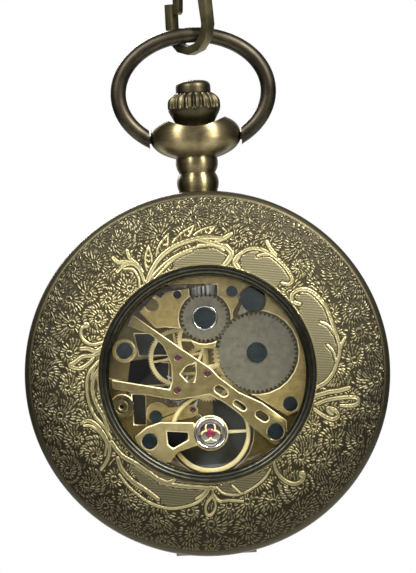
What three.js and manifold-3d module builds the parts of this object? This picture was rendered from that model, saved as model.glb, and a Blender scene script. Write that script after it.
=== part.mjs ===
// A hand-wound skeleton pocket watch in an engraved half-hunter case, hanging
// from the snap hook of its chain. Millimetres.
//
// The watch is drawn in a "face" frame, seen from its back: x to the right,
// y up along the winding stem, z towards the viewer, with the centre of the
// case at 0. The last lines turn that frame so that +Z is up, the back looks
// along -Y, and the origin is the point from which the snap hook hangs.

import * as THREE from 'three';
import { mergeVertices } from 'three/addons/utils/BufferGeometryUtils.js';
import Module from 'manifold-3d';

const wasm = await Module();
wasm.setup();

// ------------------------------------------------------------------ sizes

const GAP = 0.05; // running clearance between neighbouring pieces
const WELD = 1e-4; // corners nearer than this are one corner

// Case, from the middle outwards. Depths are along z.
const CASE_R = 23.5;
const BAND_R = 23.0;
const BAND_INNER_R = 20.5;
const BAND_BACK = 2.2;
const BAND_FRONT = -2.4;
const WINDOW_R = 12.58; // clear opening of both windows
const WINDOW_RING_R = 13.88;
const COVER_HOLE_R = 13.95;
const BACK_Z = 6.25; // flat top of the back window's ring
const LID_Z = -7.5; // flat top of the lid window's ring
const STEM_BORE_R = 1.3;
const ROUND = 40; // sides of a large circle
const FINE = 16; // sides of a small circle
const ARC_PARTS = 3; // half the straight parts in an arc of a flat outline
const TINY = 8; // sides of a pivot or a screw's shank

// Hang of the watch, along y.
const TRUNNION_Y = 30.4;
const BOW_A = 9.7;
const BOW_B = 7.4;
const BOW_Y = 36.3;
const BOW_WIRE_R = 1.0;
const HOOK_EYE_Y = 55.2;
const HOOK_EYE_R = 0.9;
const HANG_Y = HOOK_EYE_Y + HOOK_EYE_R;

// Movement: heights h above the main plate's bridge side.
const PLATE_Z = -1.1;
const PLATE_R = 14.6;
const PLATE_THICK = 1.3;
const BRIDGE_H = 2.3;
const BRIDGE_TOP = 3.1;
const RECESS_H = 2.55;
const STEM_H = -PLATE_Z;

// Axes of the movement, as [x, y].
const CENTRE = [0, 0];
const BARREL = [6.48, 2.36];
const CROWN_WHEEL = [0, 7.15];
const THIRD = [0, 4.2];
const FOURTH = [-3.7, 2.2];
const ESCAPE = [-3.99, -1.99];
const PALLET = [-2.14, -4.65];
const BALANCE = [0, -7.68];
const CLICK = [6.25, 9.16];
const CLICK_TIP = [4.51, 7.43];
const MINUTE_WHEEL = [2, 2 * Math.sqrt(3)];

const TEETH = {
  ratchet: 54,
  crownWheel: 32,
  windingPinion: 16,
  barrel: 60,
  centrePinion: 12,
  centre: 60,
  thirdPinion: 8,
  third: 64,
  fourthPinion: 8,
  fourth: 70,
  escapePinion: 7,
  escape: 15,
  cannon: 10,
  minute: 30,
  minutePinion: 8,
  hour: 32,
};

// ------------------------------------------------------------- materials

function metal(color, roughness, metalness = 1) {
  return new THREE.MeshStandardMaterial({ color, roughness, metalness });
}

const BRONZE = metal(0x6e6042, 0.4);
const DARK_BRONZE = metal(0x2b2a22, 0.45);
const BRASS = metal(0xa89058, 0.35);
const GILT = metal(0xc9a956, 0.3);
const STEEL = metal(0x84827a, 0.35);
const BLUED = metal(0x1d2c38, 0.3);
const BRIGHT = metal(0xb9b7b0, 0.2);
const RUBY = metal(0x8c1b35, 0.15, 0);
const GLASS = metal(0xe8eeee, 0.05, 0);
const DIAL = metal(0x14181c, 0.5, 0);

// --------------------------------------------------------------- solids

// A three.js geometry as a closed manifold-3d solid facing outwards.
function solid(geometry) {
  const bare = geometry.clone();
  bare.deleteAttribute('normal');
  bare.deleteAttribute('uv');
  const welded = mergeVertices(bare, WELD);
  const at = welded.attributes.position.array;
  const corners = [];
  let sixVolumes = 0;
  const index = welded.index.array;
  for (let i = 0; i < index.length; i += 3) {
    const [a, b, c] = [index[i], index[i + 1], index[i + 2]];
    if (a === b || b === c || c === a) continue;
    corners.push(a, b, c);
    const [pa, pb, pc] = [a, b, c].map((k) => new THREE.Vector3().fromArray(at, 3 * k));
    sixVolumes += pa.dot(pb.cross(pc));
  }
  if (sixVolumes < 0) corners.reverse();
  return new wasm.Manifold(new wasm.Mesh({
    numProp: 3,
    vertProperties: Float32Array.from(at),
    triVerts: Uint32Array.from(corners),
  }));
}

function joined(first, ...rest) {
  return rest.reduce((all, one) => all.add(one), first);
}

function cut(body, ...tools) {
  return tools.reduce((left, tool) => left.subtract(tool), body);
}

// A closed [radius, height] outline turned about z, or about y if upright.
function turned(outline, sides = FINE, upright = false) {
  const points = outline.map(([r, h]) => new THREE.Vector2(r, h));
  const closed = outline[0][0] === 0 ? points : [...points, points[0]];
  const geometry = new THREE.LatheGeometry(closed, sides);
  if (!upright) geometry.rotateX(Math.PI / 2);
  return solid(geometry);
}

// A flat piece with the given shape, from height low to height high.
function slab(shape, low, high) {
  const geometry = new THREE.ExtrudeGeometry(shape, {
    depth: high - low,
    bevelEnabled: false,
    curveSegments: ARC_PARTS,
  });
  return solid(geometry.translate(0, 0, low));
}

function disc(radius, low, high, [x, y] = CENTRE, sides = FINE) {
  return turned([[0, low], [radius, low], [radius, high], [0, high]], sides).translate([x, y, 0]);
}

function ring(outer, inner, low, high, [x, y] = CENTRE, sides = FINE) {
  return turned([[inner, low], [outer, low], [outer, high], [inner, high]], sides)
    .translate([x, y, 0]);
}

function box([x0, x1], [y0, y1], [z0, z1]) {
  const geometry = new THREE.BoxGeometry(x1 - x0, y1 - y0, z1 - z0);
  return solid(geometry.translate((x0 + x1) / 2, (y0 + y1) / 2, (z0 + z1) / 2));
}

// A round rod along x or y, centred on the axis through the other two values.
function rodX(radius, [x0, x1], y, z) {
  const geometry = new THREE.CylinderGeometry(radius, radius, x1 - x0, FINE);
  return solid(geometry.rotateZ(Math.PI / 2).translate((x0 + x1) / 2, y, z));
}

function rodY(radius, [y0, y1], z = 0) {
  const geometry = new THREE.CylinderGeometry(radius, radius, y1 - y0, FINE);
  return solid(geometry.translate(0, (y0 + y1) / 2, z));
}

function polygon(points) {
  return new THREE.Shape(points.map(([x, y]) => new THREE.Vector2(x, y)));
}

// A bar with round ends: two circles of different size and their tangents.
function bar([x0, y0], [x1, y1], r0, r1) {
  const along = Math.atan2(y1 - y0, x1 - x0);
  const lean = Math.acos((r0 - r1) / Math.hypot(x1 - x0, y1 - y0));
  const shape = new THREE.Shape();
  shape.absarc(x0, y0, r0, along + lean, along - lean + 2 * Math.PI, false);
  shape.absarc(x1, y1, r1, along - lean, along + lean, false);
  return shape;
}

// ---------------------------------------------------------------- wheels

const distance = ([x0, y0], [x1, y1]) => Math.hypot(x1 - x0, y1 - y0);
const heading = ([x0, y0], [x1, y1]) => Math.atan2(y1 - y0, x1 - x0);

// Pitch radii of two wheels in mesh, from their teeth and centres.
function pitchRadii(teethA, teethB, a, b) {
  const module = (2 * distance(a, b)) / (teethA + teethB);
  return [(module * teethA) / 2, (module * teethB) / 2];
}

// A toothed outline. The first tooth's middle lies on +x. A fine tooth comes
// to a rounded point, so it has one corner at its tip; a stout one has two.
function toothed(teeth, pitchR, stout = true) {
  const module = (2 * pitchR) / teeth;
  const tip = pitchR + 0.75 * module;
  const root = pitchR - 0.95 * module;
  const step = (2 * Math.PI) / teeth;
  const shares = stout
    ? [[-0.27, root], [-0.11, tip], [0.11, tip], [0.27, root]]
    : [[-0.3, root], [0, tip], [0.3, root]];
  const points = [];
  for (let tooth = 0; tooth < teeth; tooth += 1) {
    for (const [share, radius] of shares) {
      const angle = (tooth + share) * step;
      points.push([radius * Math.cos(angle), radius * Math.sin(angle)]);
    }
  }
  return polygon(points);
}

// Turn of wheel b so that its gap faces a tooth of wheel a, whose turn is known.
function meshTurn(teethA, turnA, a, teethB, b) {
  const along = heading(a, b);
  return along + Math.PI + Math.PI / teethB + ((along - turnA) * teethA) / teethB;
}

// Openings between a wheel's arms, as slabs to cut away.
function crossings(count, inner, outer, armHalf, low, high) {
  const openings = [];
  for (let i = 0; i < count; i += 1) {
    const start = (i * 2 * Math.PI) / count;
    const end = start + (2 * Math.PI) / count;
    const shape = new THREE.Shape();
    const trim = (radius) => Math.asin(armHalf / radius);
    shape.absarc(0, 0, outer, start + trim(outer), end - trim(outer), false);
    shape.absarc(0, 0, inner, end - trim(inner), start + trim(inner), true);
    openings.push(slab(shape, low, high));
  }
  return openings;
}

// Stepped arbor about the z axis, as [radius, top] pairs from its foot up.
function arbor(foot, steps) {
  const outline = [[0, foot]];
  let low = foot;
  for (const [radius, top] of steps) {
    outline.push([radius, low], [radius, top]);
    low = top;
  }
  outline.push([0, low]);
  return turned(outline, TINY);
}

// ------------------------------------------------------------ scene graph

const face = new THREE.Group();
const movement = new THREE.Group();
movement.position.z = PLATE_Z;
face.add(movement);

// Add a solid as a named mesh. Its own axis may stand at a place, turned.
function place(group, name, body, material, at = CENTRE, turn = 0) {
  const made = body.getMesh();
  const geometry = new THREE.BufferGeometry();
  geometry.setAttribute('position', new THREE.BufferAttribute(made.vertProperties, 3));
  geometry.setIndex(new THREE.BufferAttribute(made.triVerts, 1));
  geometry.computeVertexNormals();
  const mesh = new THREE.Mesh(geometry, material.clone());
  mesh.name = name;
  mesh.position.set(at[0], at[1], 0);
  mesh.rotation.z = turn;
  group.add(mesh);
  return mesh;
}

// ------------------------------------------------------------------- case

const STEM_PASSAGE = rodY(STEM_BORE_R, [12, 25]);

const HINGE = { y: -23.0, z: -2.45, knuckleR: 0.6, pinR: 0.25, half: 5.2, middle: 2.0 };

function knuckle(x0, x1) {
  const { y, z, knuckleR, pinR } = HINGE;
  return cut(rodX(knuckleR, [x0, x1], y, z), rodX(pinR + GAP, [x0 - 1, x1 + 1], y, z));
}

function caseBand() {
  const band = ring(BAND_R, BAND_INNER_R, BAND_FRONT, BAND_BACK, CENTRE, ROUND);
  const { y, z, half, middle, knuckleR, pinR } = HINGE;
  const pocket = knuckleR + 0.1;
  const notch = box([-half - 0.1, half + 0.1], [-25, y + pocket], [BAND_FRONT - 1, z + pocket]);
  const latchSlot = box([-1.3, 1.3], [20, 22.5], [BAND_FRONT - 1, -1.35]);
  let made = cut(band, notch, STEM_PASSAGE, latchSlot);
  for (const side of [-1, 1]) {
    const [x0, x1] = side < 0 ? [-half, -middle - 0.1] : [middle + 0.1, half];
    const web = box([x0, x1], [y - 0.1, y + 1.2], [z + 0.35, z + 1.2]);
    const pin = rodX(pinR + GAP, [x0 - 1, x1 + 1], y, z);
    made = joined(made, knuckle(x0, x1), cut(web, pin));
  }
  return made;
}

// The engraved shell of the back. Its rim stands on the band.
function backCover() {
  const outer = [
    [22.6, 2.25], [23.3, 2.25], [CASE_R, 2.75], [23.2, 3.65], [21.9, 4.65],
    [19, 5.6], [COVER_HOLE_R, 6.15],
  ];
  const inner = [[COVER_HOLE_R, 5.5], [19, 4.95], [21.5, 4.05], [22.45, 3.3]];
  return turned([...outer, ...inner], ROUND);
}

// The same shell on the front, deeper, as it closes over the front glass.
function lidCover() {
  const outer = [
    [22.65, -2.5], [23.3, -2.5], [CASE_R, -3.0], [23.25, -3.95], [22, -5.2],
    [19, -6.5], [COVER_HOLE_R, -7.4],
  ];
  const inner = [[COVER_HOLE_R, -6.75], [18.8, -5.9], [21.4, -5], [22.65, -3.7]];
  const shell = turned([...outer, ...inner], ROUND);
  const { y, z, half, middle, knuckleR, pinR } = HINGE;
  const notch = box(
    [-half - 0.1, half + 0.1],
    [-25, y + knuckleR + 0.6],
    [z - knuckleR - 0.1, z + 1],
  );
  const web = box([-middle, middle], [y - 0.35, y + 0.3], [z - 1.15, z - 0.3]);
  const pin = rodX(pinR + GAP, [-half, half], y, z);
  return joined(cut(shell, notch), knuckle(-middle, middle), cut(web, pin));
}

// A window's dark ring: a stepped lip over the glass and a skirt around it.
// Side is 1 at the back and -1 at the lid.
function windowRing(top, side) {
  const at = (radius, drop) => [radius, top - side * drop];
  return turned([
    at(WINDOW_R, 0.95), at(WINDOW_R, 0.5), at(12.9, 0), at(WINDOW_RING_R, 0),
    at(WINDOW_RING_R, 1.75), at(13.2, 1.75), at(13.2, 0.95),
  ], ROUND);
}

function windowGlass(top, side) {
  const low = top - side * 1.7;
  const edge = top - side * 1.2;
  const crown = top - side * 1.0;
  return turned([[0, low], [13.15, low], [13.15, edge], [12.2, crown], [0, crown]], ROUND);
}

function frontBezel() {
  const bezel = turned([
    [19.9, -2.45], [22.3, -2.45], [22.3, -3.6], [21.2, -4.7], [20.45, -4.8],
    [20.45, -4.25], [19.9, -4.25],
  ], ROUND);
  const latchPath = box([-1.35, 1.35], [20.45, 23], [-3.25, -2]);
  return cut(bezel, latchPath);
}

function frontGlass() {
  const low = -4.3;
  return turned([[0, low], [20.4, low], [20.4, -4.85], [14, -5.2], [0, -5.35]], ROUND);
}

function movementHolder() {
  const holder = turned([
    [PLATE_R + 0.15, -3.1], [19.8, -3.1], [19.8, -2.3], [20.4, -2.3], [20.4, 2.1],
    [PLATE_R + 0.15, 2.1],
  ], ROUND);
  return cut(holder, STEM_PASSAGE);
}

place(face, 'case_band', caseBand(), BRONZE);
place(face, 'back_cover', backCover(), BRONZE);
place(face, 'back_window_ring', windowRing(BACK_Z, 1), DARK_BRONZE);
place(face, 'back_glass', windowGlass(BACK_Z, 1), GLASS);
place(face, 'front_bezel', frontBezel(), BRONZE);
place(face, 'front_glass', frontGlass(), GLASS);
place(face, 'movement_holder', movementHolder(), BRASS);
place(face, 'dial', ring(19.7, 1.3, -3.55, -3.15, CENTRE, ROUND), DIAL);
place(face, 'lid_cover', lidCover(), BRONZE);
place(face, 'lid_window_ring', windowRing(LID_Z, -1), DARK_BRONZE);
place(face, 'lid_glass', windowGlass(LID_Z, -1), GLASS);
place(
  face,
  'hinge_pin',
  rodX(HINGE.pinR, [-HINGE.half, HINGE.half], HINGE.y, HINGE.z),
  BRONZE,
);
place(
  face,
  'lid_latch',
  joined(
    box([-1.2, 1.2], [21.35, 22.3], [-2.5, -1.4]),
    box([-1.2, 1.2], [21.9, 22.5], [-3.15, -2.45]),
  ),
  STEEL,
);

// ------------------------------------------- pendant, crown, button, bow

function pendant() {
  const outline = [
    [0, 22], [2.1, 22], [2.1, 23.3], [2.5, 23.3], [2.67, 23.9], [2.67, 25.4], [2.33, 25.95],
    [2.6, 26.35], [2.6, 27.2], [2.3, 27.8], [2.3, 30], [0, 30],
  ];
  const neck = turned(outline, FINE, true);
  const ball = new THREE.SphereGeometry(1, 20, 10).scale(5.85, 3.1, 4.3);
  const head = solid(ball.translate(0, TRUNNION_Y, 0));
  const bandSeat = disc(BAND_R + GAP, BAND_FRONT, BAND_BACK, CENTRE, ROUND);
  const coverSeats = [
    disc(CASE_R + 0.1, -9, BAND_FRONT, CENTRE, ROUND),
    disc(CASE_R + 0.1, BAND_BACK, 9, CENTRE, ROUND),
  ];
  const crownWell = rodY(3.65, [31.5, 36]);
  const bore = rodY(STEM_BORE_R, [20, 34]);
  const pivots = [[-7, -4.8], [4.8, 7]].map((span) => rodX(0.55, span, TRUNNION_Y, 0));
  return cut(joined(neck, head), bandSeat, ...coverSeats, crownWell, bore, ...pivots);
}

function crown() {
  const skirt = turned([
    [1, 31.7], [2.45, 31.7], [2.5, 31.95], [3.2, 34], [3.2, 36.1], [3.05, 36.2],
    [2.35, 36.2], [2.35, 35.3], [1, 35.3],
  ], 20, true);
  const flutes = slab(toothed(20, 3.15, false), -1, 1).rotate([-90, 0, 0]);
  const hollow = rodY(3.05, [33, 37]);
  return joined(skirt, cut(flutes.translate([0, 35.1, 0]), hollow));
}

function releaseButton() {
  return turned([
    [0, 25], [0.5, 25], [0.5, 36.15], [2.25, 36.15], [2.25, 37.2], [1.9, 37.7],
    [1.1, 37.85], [0, 37.85],
  ], FINE, true);
}

function stem() {
  const outside = turned([
    [0, 7.2], [0.35, 7.2], [0.35, 8.65], [0.6, 8.7], [0.6, 22], [0.9, 22.2], [0.9, 35.25],
    [0, 35.25],
  ], FINE, true);
  return cut(outside, rodY(0.55, [24, 36]));
}

// The bow is an open oval whose flat ends turn on two short pins.
function bow() {
  class Oval extends THREE.Curve {
    getPoint(share, target = new THREE.Vector3()) {
      const below = THREE.MathUtils.degToRad(58);
      const angle = -below + share * (Math.PI + 2 * below);
      return target.set(BOW_A * Math.cos(angle), BOW_Y + BOW_B * Math.sin(angle), 0);
    }
  }
  const section = new THREE.Shape().absarc(0, 0, BOW_WIRE_R, 0, 2 * Math.PI, false);
  const wire = new THREE.ExtrudeGeometry(section, {
    steps: 24,
    curveSegments: 4,
    extrudePath: new Oval(),
  });
  const faceX = 5.95;
  const headroom = box([-faceX, faceX], [27, 33], [-3, 3]);
  const pins = [[-faceX - 0.4, -4.9], [4.9, faceX + 0.4]]
    .map((span) => rodX(0.5, span, TRUNNION_Y, 0));
  return joined(cut(solid(wire), headroom), ...pins);
}

place(face, 'pendant', pendant(), BRONZE);
place(
  face,
  'stem_sleeve',
  turned([[0.95, 24.5], [1.25, 24.5], [1.25, 31.4], [0.95, 31.4]], FINE, true),
  STEEL,
);
place(face, 'crown', crown(), BRONZE);
place(face, 'winding_stem', stem(), STEEL);
place(face, 'release_button', releaseButton(), BRONZE);
place(face, 'bow', bow(), DARK_BRONZE);

// -------------------------------------------------------------- snap hook

const HOOK_HALF = 3.85; // outer half width of the hook
const HOOK_BAR = 1.15; // width of its bar
const HOOK_THICK = 1.3;
const HOOK_BEND_Y = 44.85;
const HOOK_TWIST = THREE.MathUtils.degToRad(-45);
const GATE_PIVOT = [-1.9, 51.7];
const GATE_TIP = [-2.05, 47];
const hook = new THREE.Group();
hook.rotation.y = HOOK_TWIST;
face.add(hook);

function hookBody() {
  const outer = HOOK_HALF;
  const inner = HOOK_HALF - HOOK_BAR;
  const nose = 47.9;
  const shape = new THREE.Shape();
  shape.moveTo(-outer, nose);
  shape.lineTo(-outer, HOOK_BEND_Y);
  shape.absellipse(0, HOOK_BEND_Y, outer, 3.75, Math.PI, 2 * Math.PI, false);
  shape.lineTo(3.5, 49.2);
  shape.lineTo(1.5, 53.9);
  shape.lineTo(-1.5, 53.9);
  shape.lineTo(-3.1, 52.2);
  shape.lineTo(-2.9, 50.9);
  shape.lineTo(-0.6, 50.7);
  shape.lineTo(1.1, 50.5);
  shape.lineTo(2.2, 48.6);
  shape.lineTo(inner, HOOK_BEND_Y);
  shape.absellipse(0, HOOK_BEND_Y, inner, 2.65, 2 * Math.PI, Math.PI, true);
  shape.lineTo(-inner, nose);
  const half = HOOK_THICK / 2;
  const eye = ring(HOOK_EYE_R + 0.9, HOOK_EYE_R, -half, half, [0, HOOK_EYE_Y]);
  const hole = disc(HOOK_EYE_R, -1, 1, [0, HOOK_EYE_Y]);
  const gateSlot = box([-3.5, 0], [50, 52.6], [-0.35 - GAP, 0.35 + GAP]);
  const pinHole = disc(0.3 + GAP, -2, 2, GATE_PIVOT);
  return cut(joined(slab(shape, -half, half), eye), hole, gateSlot, pinHole);
}

// The gate swings on a pin of its own that passes through the hook's cheeks.
function hookGate() {
  const lever = slab(bar(GATE_PIVOT, GATE_TIP, 0.75, 0.55), -0.35, 0.35);
  return joined(lever, disc(0.3, -HOOK_THICK / 2, HOOK_THICK / 2, GATE_PIVOT, TINY));
}

place(hook, 'clasp_hook', hookBody(), DARK_BRONZE);
place(hook, 'clasp_gate', hookGate(), DARK_BRONZE);

// ------------------------------------------------- plate and bridges

const SCREW_SHANK_R = 0.4;

// A cheese-head screw whose head stands on height seat.
function screw(headR, seat, headTop, foot) {
  const body = turned([
    [0, foot], [SCREW_SHANK_R, foot], [SCREW_SHANK_R, seat], [headR, seat],
    [headR, headTop], [0, headTop],
  ], 12);
  const slot = box([-headR, headR], [-0.12, 0.12], [headTop - 0.16, 9]);
  return cut(body, slot);
}

// The seat for such a screw: a sunk ring for its head and a hole below.
function screwHole([x, y], headR, seat, foot) {
  return joined(
    disc(headR + 0.12, seat - GAP, 9, [x, y], 12),
    disc(SCREW_SHANK_R + GAP, foot - GAP, 9, [x, y], TINY),
  );
}

const PLATE_SCREW = [-10.57, 3.41];
const PLATE_BOSS = [-11.26, -3.8];
const TRAIN_SCREW = [8.36, -7.89];
const BARREL_SCREW = [10.46, -4.48];
const COCK_SCREW = [-7.86, -8.35];
const PALLET_SCREW = [-6.96, -5.3];
const SPRING_SCREW = [3.64, 10.36];
const PIVOT_R = 0.15;

// Two openings above the train, through the barrel bridge and the plate.
const KEYHOLE = [[-6.1, 10.5], [-4.7, 11.5], [-4.4, 11.1], [-5.5, 10.1]];
const SPYHOLE = [-3.4, 10.3];

function mainPlate() {
  const round = disc(PLATE_R, -PLATE_THICK, 0, CENTRE, ROUND);
  const through = (shape) => slab(shape, -PLATE_THICK - 1, 1);
  const openings = [
    through(polygon([[-9.2, 5.5], [-5.6, 5.3], [-5, 2.6], [-8.7, 2.7]])),
    through(polygon([[-9.8, 1.9], [-5, 1.5], [-5.2, -1.2], [-9.6, -1.2]])),
    through(polygon([[-9.9, -2.3], [-8.2, -2.5], [-8.3, -6.3], [-9.8, -6.2]])),
    through(polygon(KEYHOLE)),
    disc(0.55, -PLATE_THICK - 1, 1, SPYHOLE, 12),
  ];
  const balanceWell = cut(
    disc(5.6, -PLATE_THICK - 1, 1, BALANCE, 24),
    box([-9, 1.7], [BALANCE[1] - 1.7, BALANCE[1] + 1.7], [-3, 3]),
    box([-4, 0.5], [-6, -1], [-3, 3]),
  );
  const bearings = [THIRD, FOURTH, ESCAPE, PALLET, BALANCE]
    .map((at) => disc(PIVOT_R + GAP, -PLATE_THICK - 1, 1, at, TINY));
  const stemBlocks = [
    box([-2.2, 2.2], [11.5, 14], [-0.1, 2.2]),
    box([-0.9, 0.9], [7.3, 8.3], [-0.1, 1.6]),
  ];
  const bosses = [
    disc(1.5, -0.1, 1.5, PLATE_SCREW),
    disc(1.5, -0.1, 1.5, PLATE_BOSS),
  ];
  const minutePost = disc(0.3, -1.75, -1.2, MINUTE_WHEEL, TINY);
  return cut(
    joined(cut(round, ...openings, balanceWell), ...stemBlocks, ...bosses, minutePost),
    ...bearings,
    disc(0.5, -PLATE_THICK - 1, 1, CENTRE, TINY),
    disc(0.95, -0.6, 1, BARREL),
    disc(0.35, -3, 3, PLATE_BOSS, TINY),
    box([-1.75, 1.75], [8.35, 11.45], [-0.6, 1]),
    rodY(0.6 + GAP, [11, 15], STEM_H),
    rodY(0.35 + GAP, [7, 9], STEM_H),
    screwHole(PLATE_SCREW, 0.96, 1.2, 0.2),
    ...[TRAIN_SCREW, BARREL_SCREW, COCK_SCREW, PALLET_SCREW, SPRING_SCREW]
      .map((at) => disc(SCREW_SHANK_R + GAP, -0.5, 1, at, TINY)),
  );
}

// The bridge over the barrel and the winding wheels.
function barrelBridge() {
  const plate = slab(polygon([
    [-8.4, 8.3], [-6.9, 9.9], [-5.2, 11.4], [-3, 12.6], [0, 13.2], [4.6, 12.4], [8.4, 10.2],
    [11.4, 6.7], [12.9, 2.5], [12.9, -1.5], [11.9, -5.3], [9.9, -6], [6.1, -3.3],
    [4.1, -2.2], [2.2, -0.5], [1.7, 0.8], [1.6, 3.2], [-1.3, 3.3], [-2.9, 5.9], [-5.4, 6.2],
    [-6.3, 6.1],
  ]), BRIDGE_H, 3);
  const feet = [
    disc(1.6, BRIDGE_H, 3.2, CROWN_WHEEL, 24),
    disc(1.4, 0.05, BRIDGE_H, BARREL_SCREW, 16),
    disc(1.2, 0.05, BRIDGE_H, [-6.8, 9.4], 16),
    slab(bar([7.2, 11.2], [9.4, 9.6], 0.7, 0.7), 0.05, BRIDGE_H),
  ];
  return cut(
    joined(plate, ...feet),
    disc(5.4, RECESS_H, 9, BARREL, 24),
    ring(3.35, 1.6, RECESS_H, 9, CROWN_WHEEL, 24),
    disc(1.43, 2.85, 9, CROWN_WHEEL, 24),
    disc(1.75, RECESS_H, 9, CLICK),
    slab(bar(CLICK, CLICK_TIP, 1.3, 0.9), RECESS_H, 9),
    disc(1.2 + GAP, 0, 9, BARREL),
    disc(PIVOT_R + GAP, 0, 9, THIRD, TINY),
    disc(SCREW_SHANK_R + GAP, 0, 9, CROWN_WHEEL, TINY),
    disc(SCREW_SHANK_R + GAP, 0, 9, CLICK, TINY),
    box([-1.8, 1.8], [10, 11.35], [0, 9]),
    slab(polygon(KEYHOLE), 0, 9),
    disc(0.55, 0, 9, SPYHOLE, 12),
    disc(0.9, 2.7, 9, [-6.76, 9.19], 16),
    screwHole(BARREL_SCREW, 0.83, 2.7, 0),
    disc(SCREW_SHANK_R + GAP, 0, 9, SPRING_SCREW, TINY),
  );
}

// The X-shaped bridge over the centre, fourth and escape wheels.
function trainBridge() {
  const plate = slab(polygon([
    [-9.2, 8], [-3, 3.2], [0.5, 0.6], [1.5, -0.6], [3.9, -2.6], [6.8, -4.1], [9.9, -6.6],
    [9.9, -8.8], [8.1, -9.6], [5.6, -7.4], [3.8, -5.4], [2, -3.9], [0.1, -2.7], [-1.8, -3],
    [-3.8, -3.2], [-5, -3.1], [-12.3, -1.4], [-12.4, -0.2], [-5, -1.8], [-4.6, -0.8],
    [-4.6, 1.2], [-5.1, 2.7], [-5.5, 3.8], [-7, 5.3], [-10, 6.6],
  ]), BRIDGE_H, BRIDGE_TOP);
  const gapToBarrelBridge = slab(polygon([
    [-9.3, 8.2], [-3, 3.35], [1.7, -0.3], [4, -2.35], [6.9, -3.9], [10.1, -6.5],
    [14, -6.5], [14, 9],
  ]), 0, 9);
  const feet = [
    disc(1.3, 0.05, BRIDGE_H + 0.1, TRAIN_SCREW, 16),
    disc(0.6, 0.05, BRIDGE_H + 0.1, [-9.4, 7.1], 12),
    disc(0.55, 0.05, BRIDGE_H + 0.1, [-11.7, -0.9], 12),
  ];
  const windowOutline = [[-3.5, 0.1], [-2.7, 1], [-1.5, 1.4], [-1.5, 0.1], [-1.8, -1.1], [-2.6, -1]];
  return cut(
    joined(cut(plate, gapToBarrelBridge), ...feet),
    slab(polygon(windowOutline), 0, 9),
    slab(bar([1.3, -2.1], [2, -2.6], 0.5, 0.5), 0, 9),
    slab(bar([3.5, -4], [4.4, -4.7], 0.35, 0.35), 0, 9),
    slab(bar([6.4, -5.6], [7.1, -6.1], 0.5, 0.5), 0, 9),
    ...[CENTRE, FOURTH, ESCAPE].map((at) => disc(0.5, 0, 9, at, TINY)),
    screwHole(TRAIN_SCREW, 0.95, 2.75, 0),
  );
}

function balanceCock() {
  const outline = [
    [-9.8, -7.7], [-8.2, -6.5], [-6.4, -5.95], [-2, -6.2], [-1.8, -9.2], [-4.3, -9.9],
    [-5.4, -11.2], [-7.3, -11.2], [-9, -9.5],
  ];
  const low = 2.75;
  const top = 3.65;
  const arm = joined(slab(polygon(outline), low, top), disc(2.3, low, top, BALANCE, 24));
  const foot = cut(
    slab(polygon([[-9.7, -7.7], [-8.1, -6.6], [-5, -6.2], [-5, -11], [-7.3, -11.1], [-8.9, -9.4]]), 0.05, 3),
    disc(5.45, -1, 4, BALANCE, 32),
  );
  const windowOutline = [[-5.6, -7.2], [-2.9, -7.5], [-2.9, -8.4], [-4.9, -9.4], [-5.5, -8.9]];
  return cut(
    joined(arm, foot),
    slab(polygon(windowOutline), low - 1, 9),
    disc(1.7, 3.2, 9, BALANCE),
    disc(PIVOT_R + GAP, 0, 9, BALANCE, TINY),
    screwHole(COCK_SCREW, 0.9, 3.3, 0),
  );
}

function palletBridge() {
  const outline = [
    [-8.2, -4.9], [-8, -4.1], [-7.5, -3.6], [-6.8, -3.4], [-6, -3.6], [-5.2, -4.2], [-3.5, -4.1],
    [-1.9, -3.9], [-1.4, -4.6], [-1.5, -5.3], [-2.4, -5.7], [-5.2, -6], [-7.6, -6], [-8.1, -5.6],
  ];
  return cut(
    joined(slab(polygon(outline), 0.9, 1.4), disc(0.9, 0.05, 1, PALLET_SCREW, 16)),
    disc(0.4, 0, 9, PALLET, TINY),
    disc(SCREW_SHANK_R + GAP, 0, 9, PALLET_SCREW, TINY),
  );
}

const jewel = (low, top) => disc(0.5 - GAP, low, top, CENTRE, TINY);

place(movement, 'main_plate', mainPlate(), BRASS);
place(movement, 'barrel_bridge', barrelBridge(), BRASS);
place(movement, 'train_bridge', trainBridge(), BRASS);
place(movement, 'balance_cock', balanceCock(), GILT);
place(movement, 'pallet_bridge', palletBridge(), BRASS);
place(movement, 'plate_screw', screw(0.96, 1.2, 1.7, 0.3), BLUED, PLATE_SCREW, 0.6);
place(movement, 'train_bridge_screw', screw(0.95, 2.75, 3.25, -0.4), BLUED, TRAIN_SCREW, 1.1);
place(movement, 'barrel_bridge_screw', screw(0.83, 2.7, 3.15, -0.4), BLUED, BARREL_SCREW, 2);
place(movement, 'cock_screw', screw(0.9, 3.3, 3.8, -0.4), BLUED, COCK_SCREW, 0.2);
place(movement, 'pallet_screw', screw(0.83, 1.45, 1.8, -0.4), BLUED, PALLET_SCREW, 1.5);
place(movement, 'centre_jewel', jewel(2.85, 3.13), RUBY);
place(movement, 'fourth_jewel', jewel(2.85, 3.13), RUBY, FOURTH);
place(movement, 'escape_jewel', jewel(2.85, 3.13), RUBY, ESCAPE);
place(movement, 'pallet_jewel', disc(0.35, 1.15, 1.43, CENTRE, TINY), RUBY, PALLET);
place(
  movement,
  'shock_setting',
  turned([
    [0, 3.25], [1.65, 3.25], [1.65, 3.7], [2.1, 3.7], [2.1, 3.8], [1.95, 3.88], [1.6, 3.85],
    [1.2, 3.5], [0.75, 3.5], [0.7, 3.7], [0, 3.75],
  ]),
  BRIGHT,
  BALANCE,
);

// --------------------------------------------------------- winding train

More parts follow.
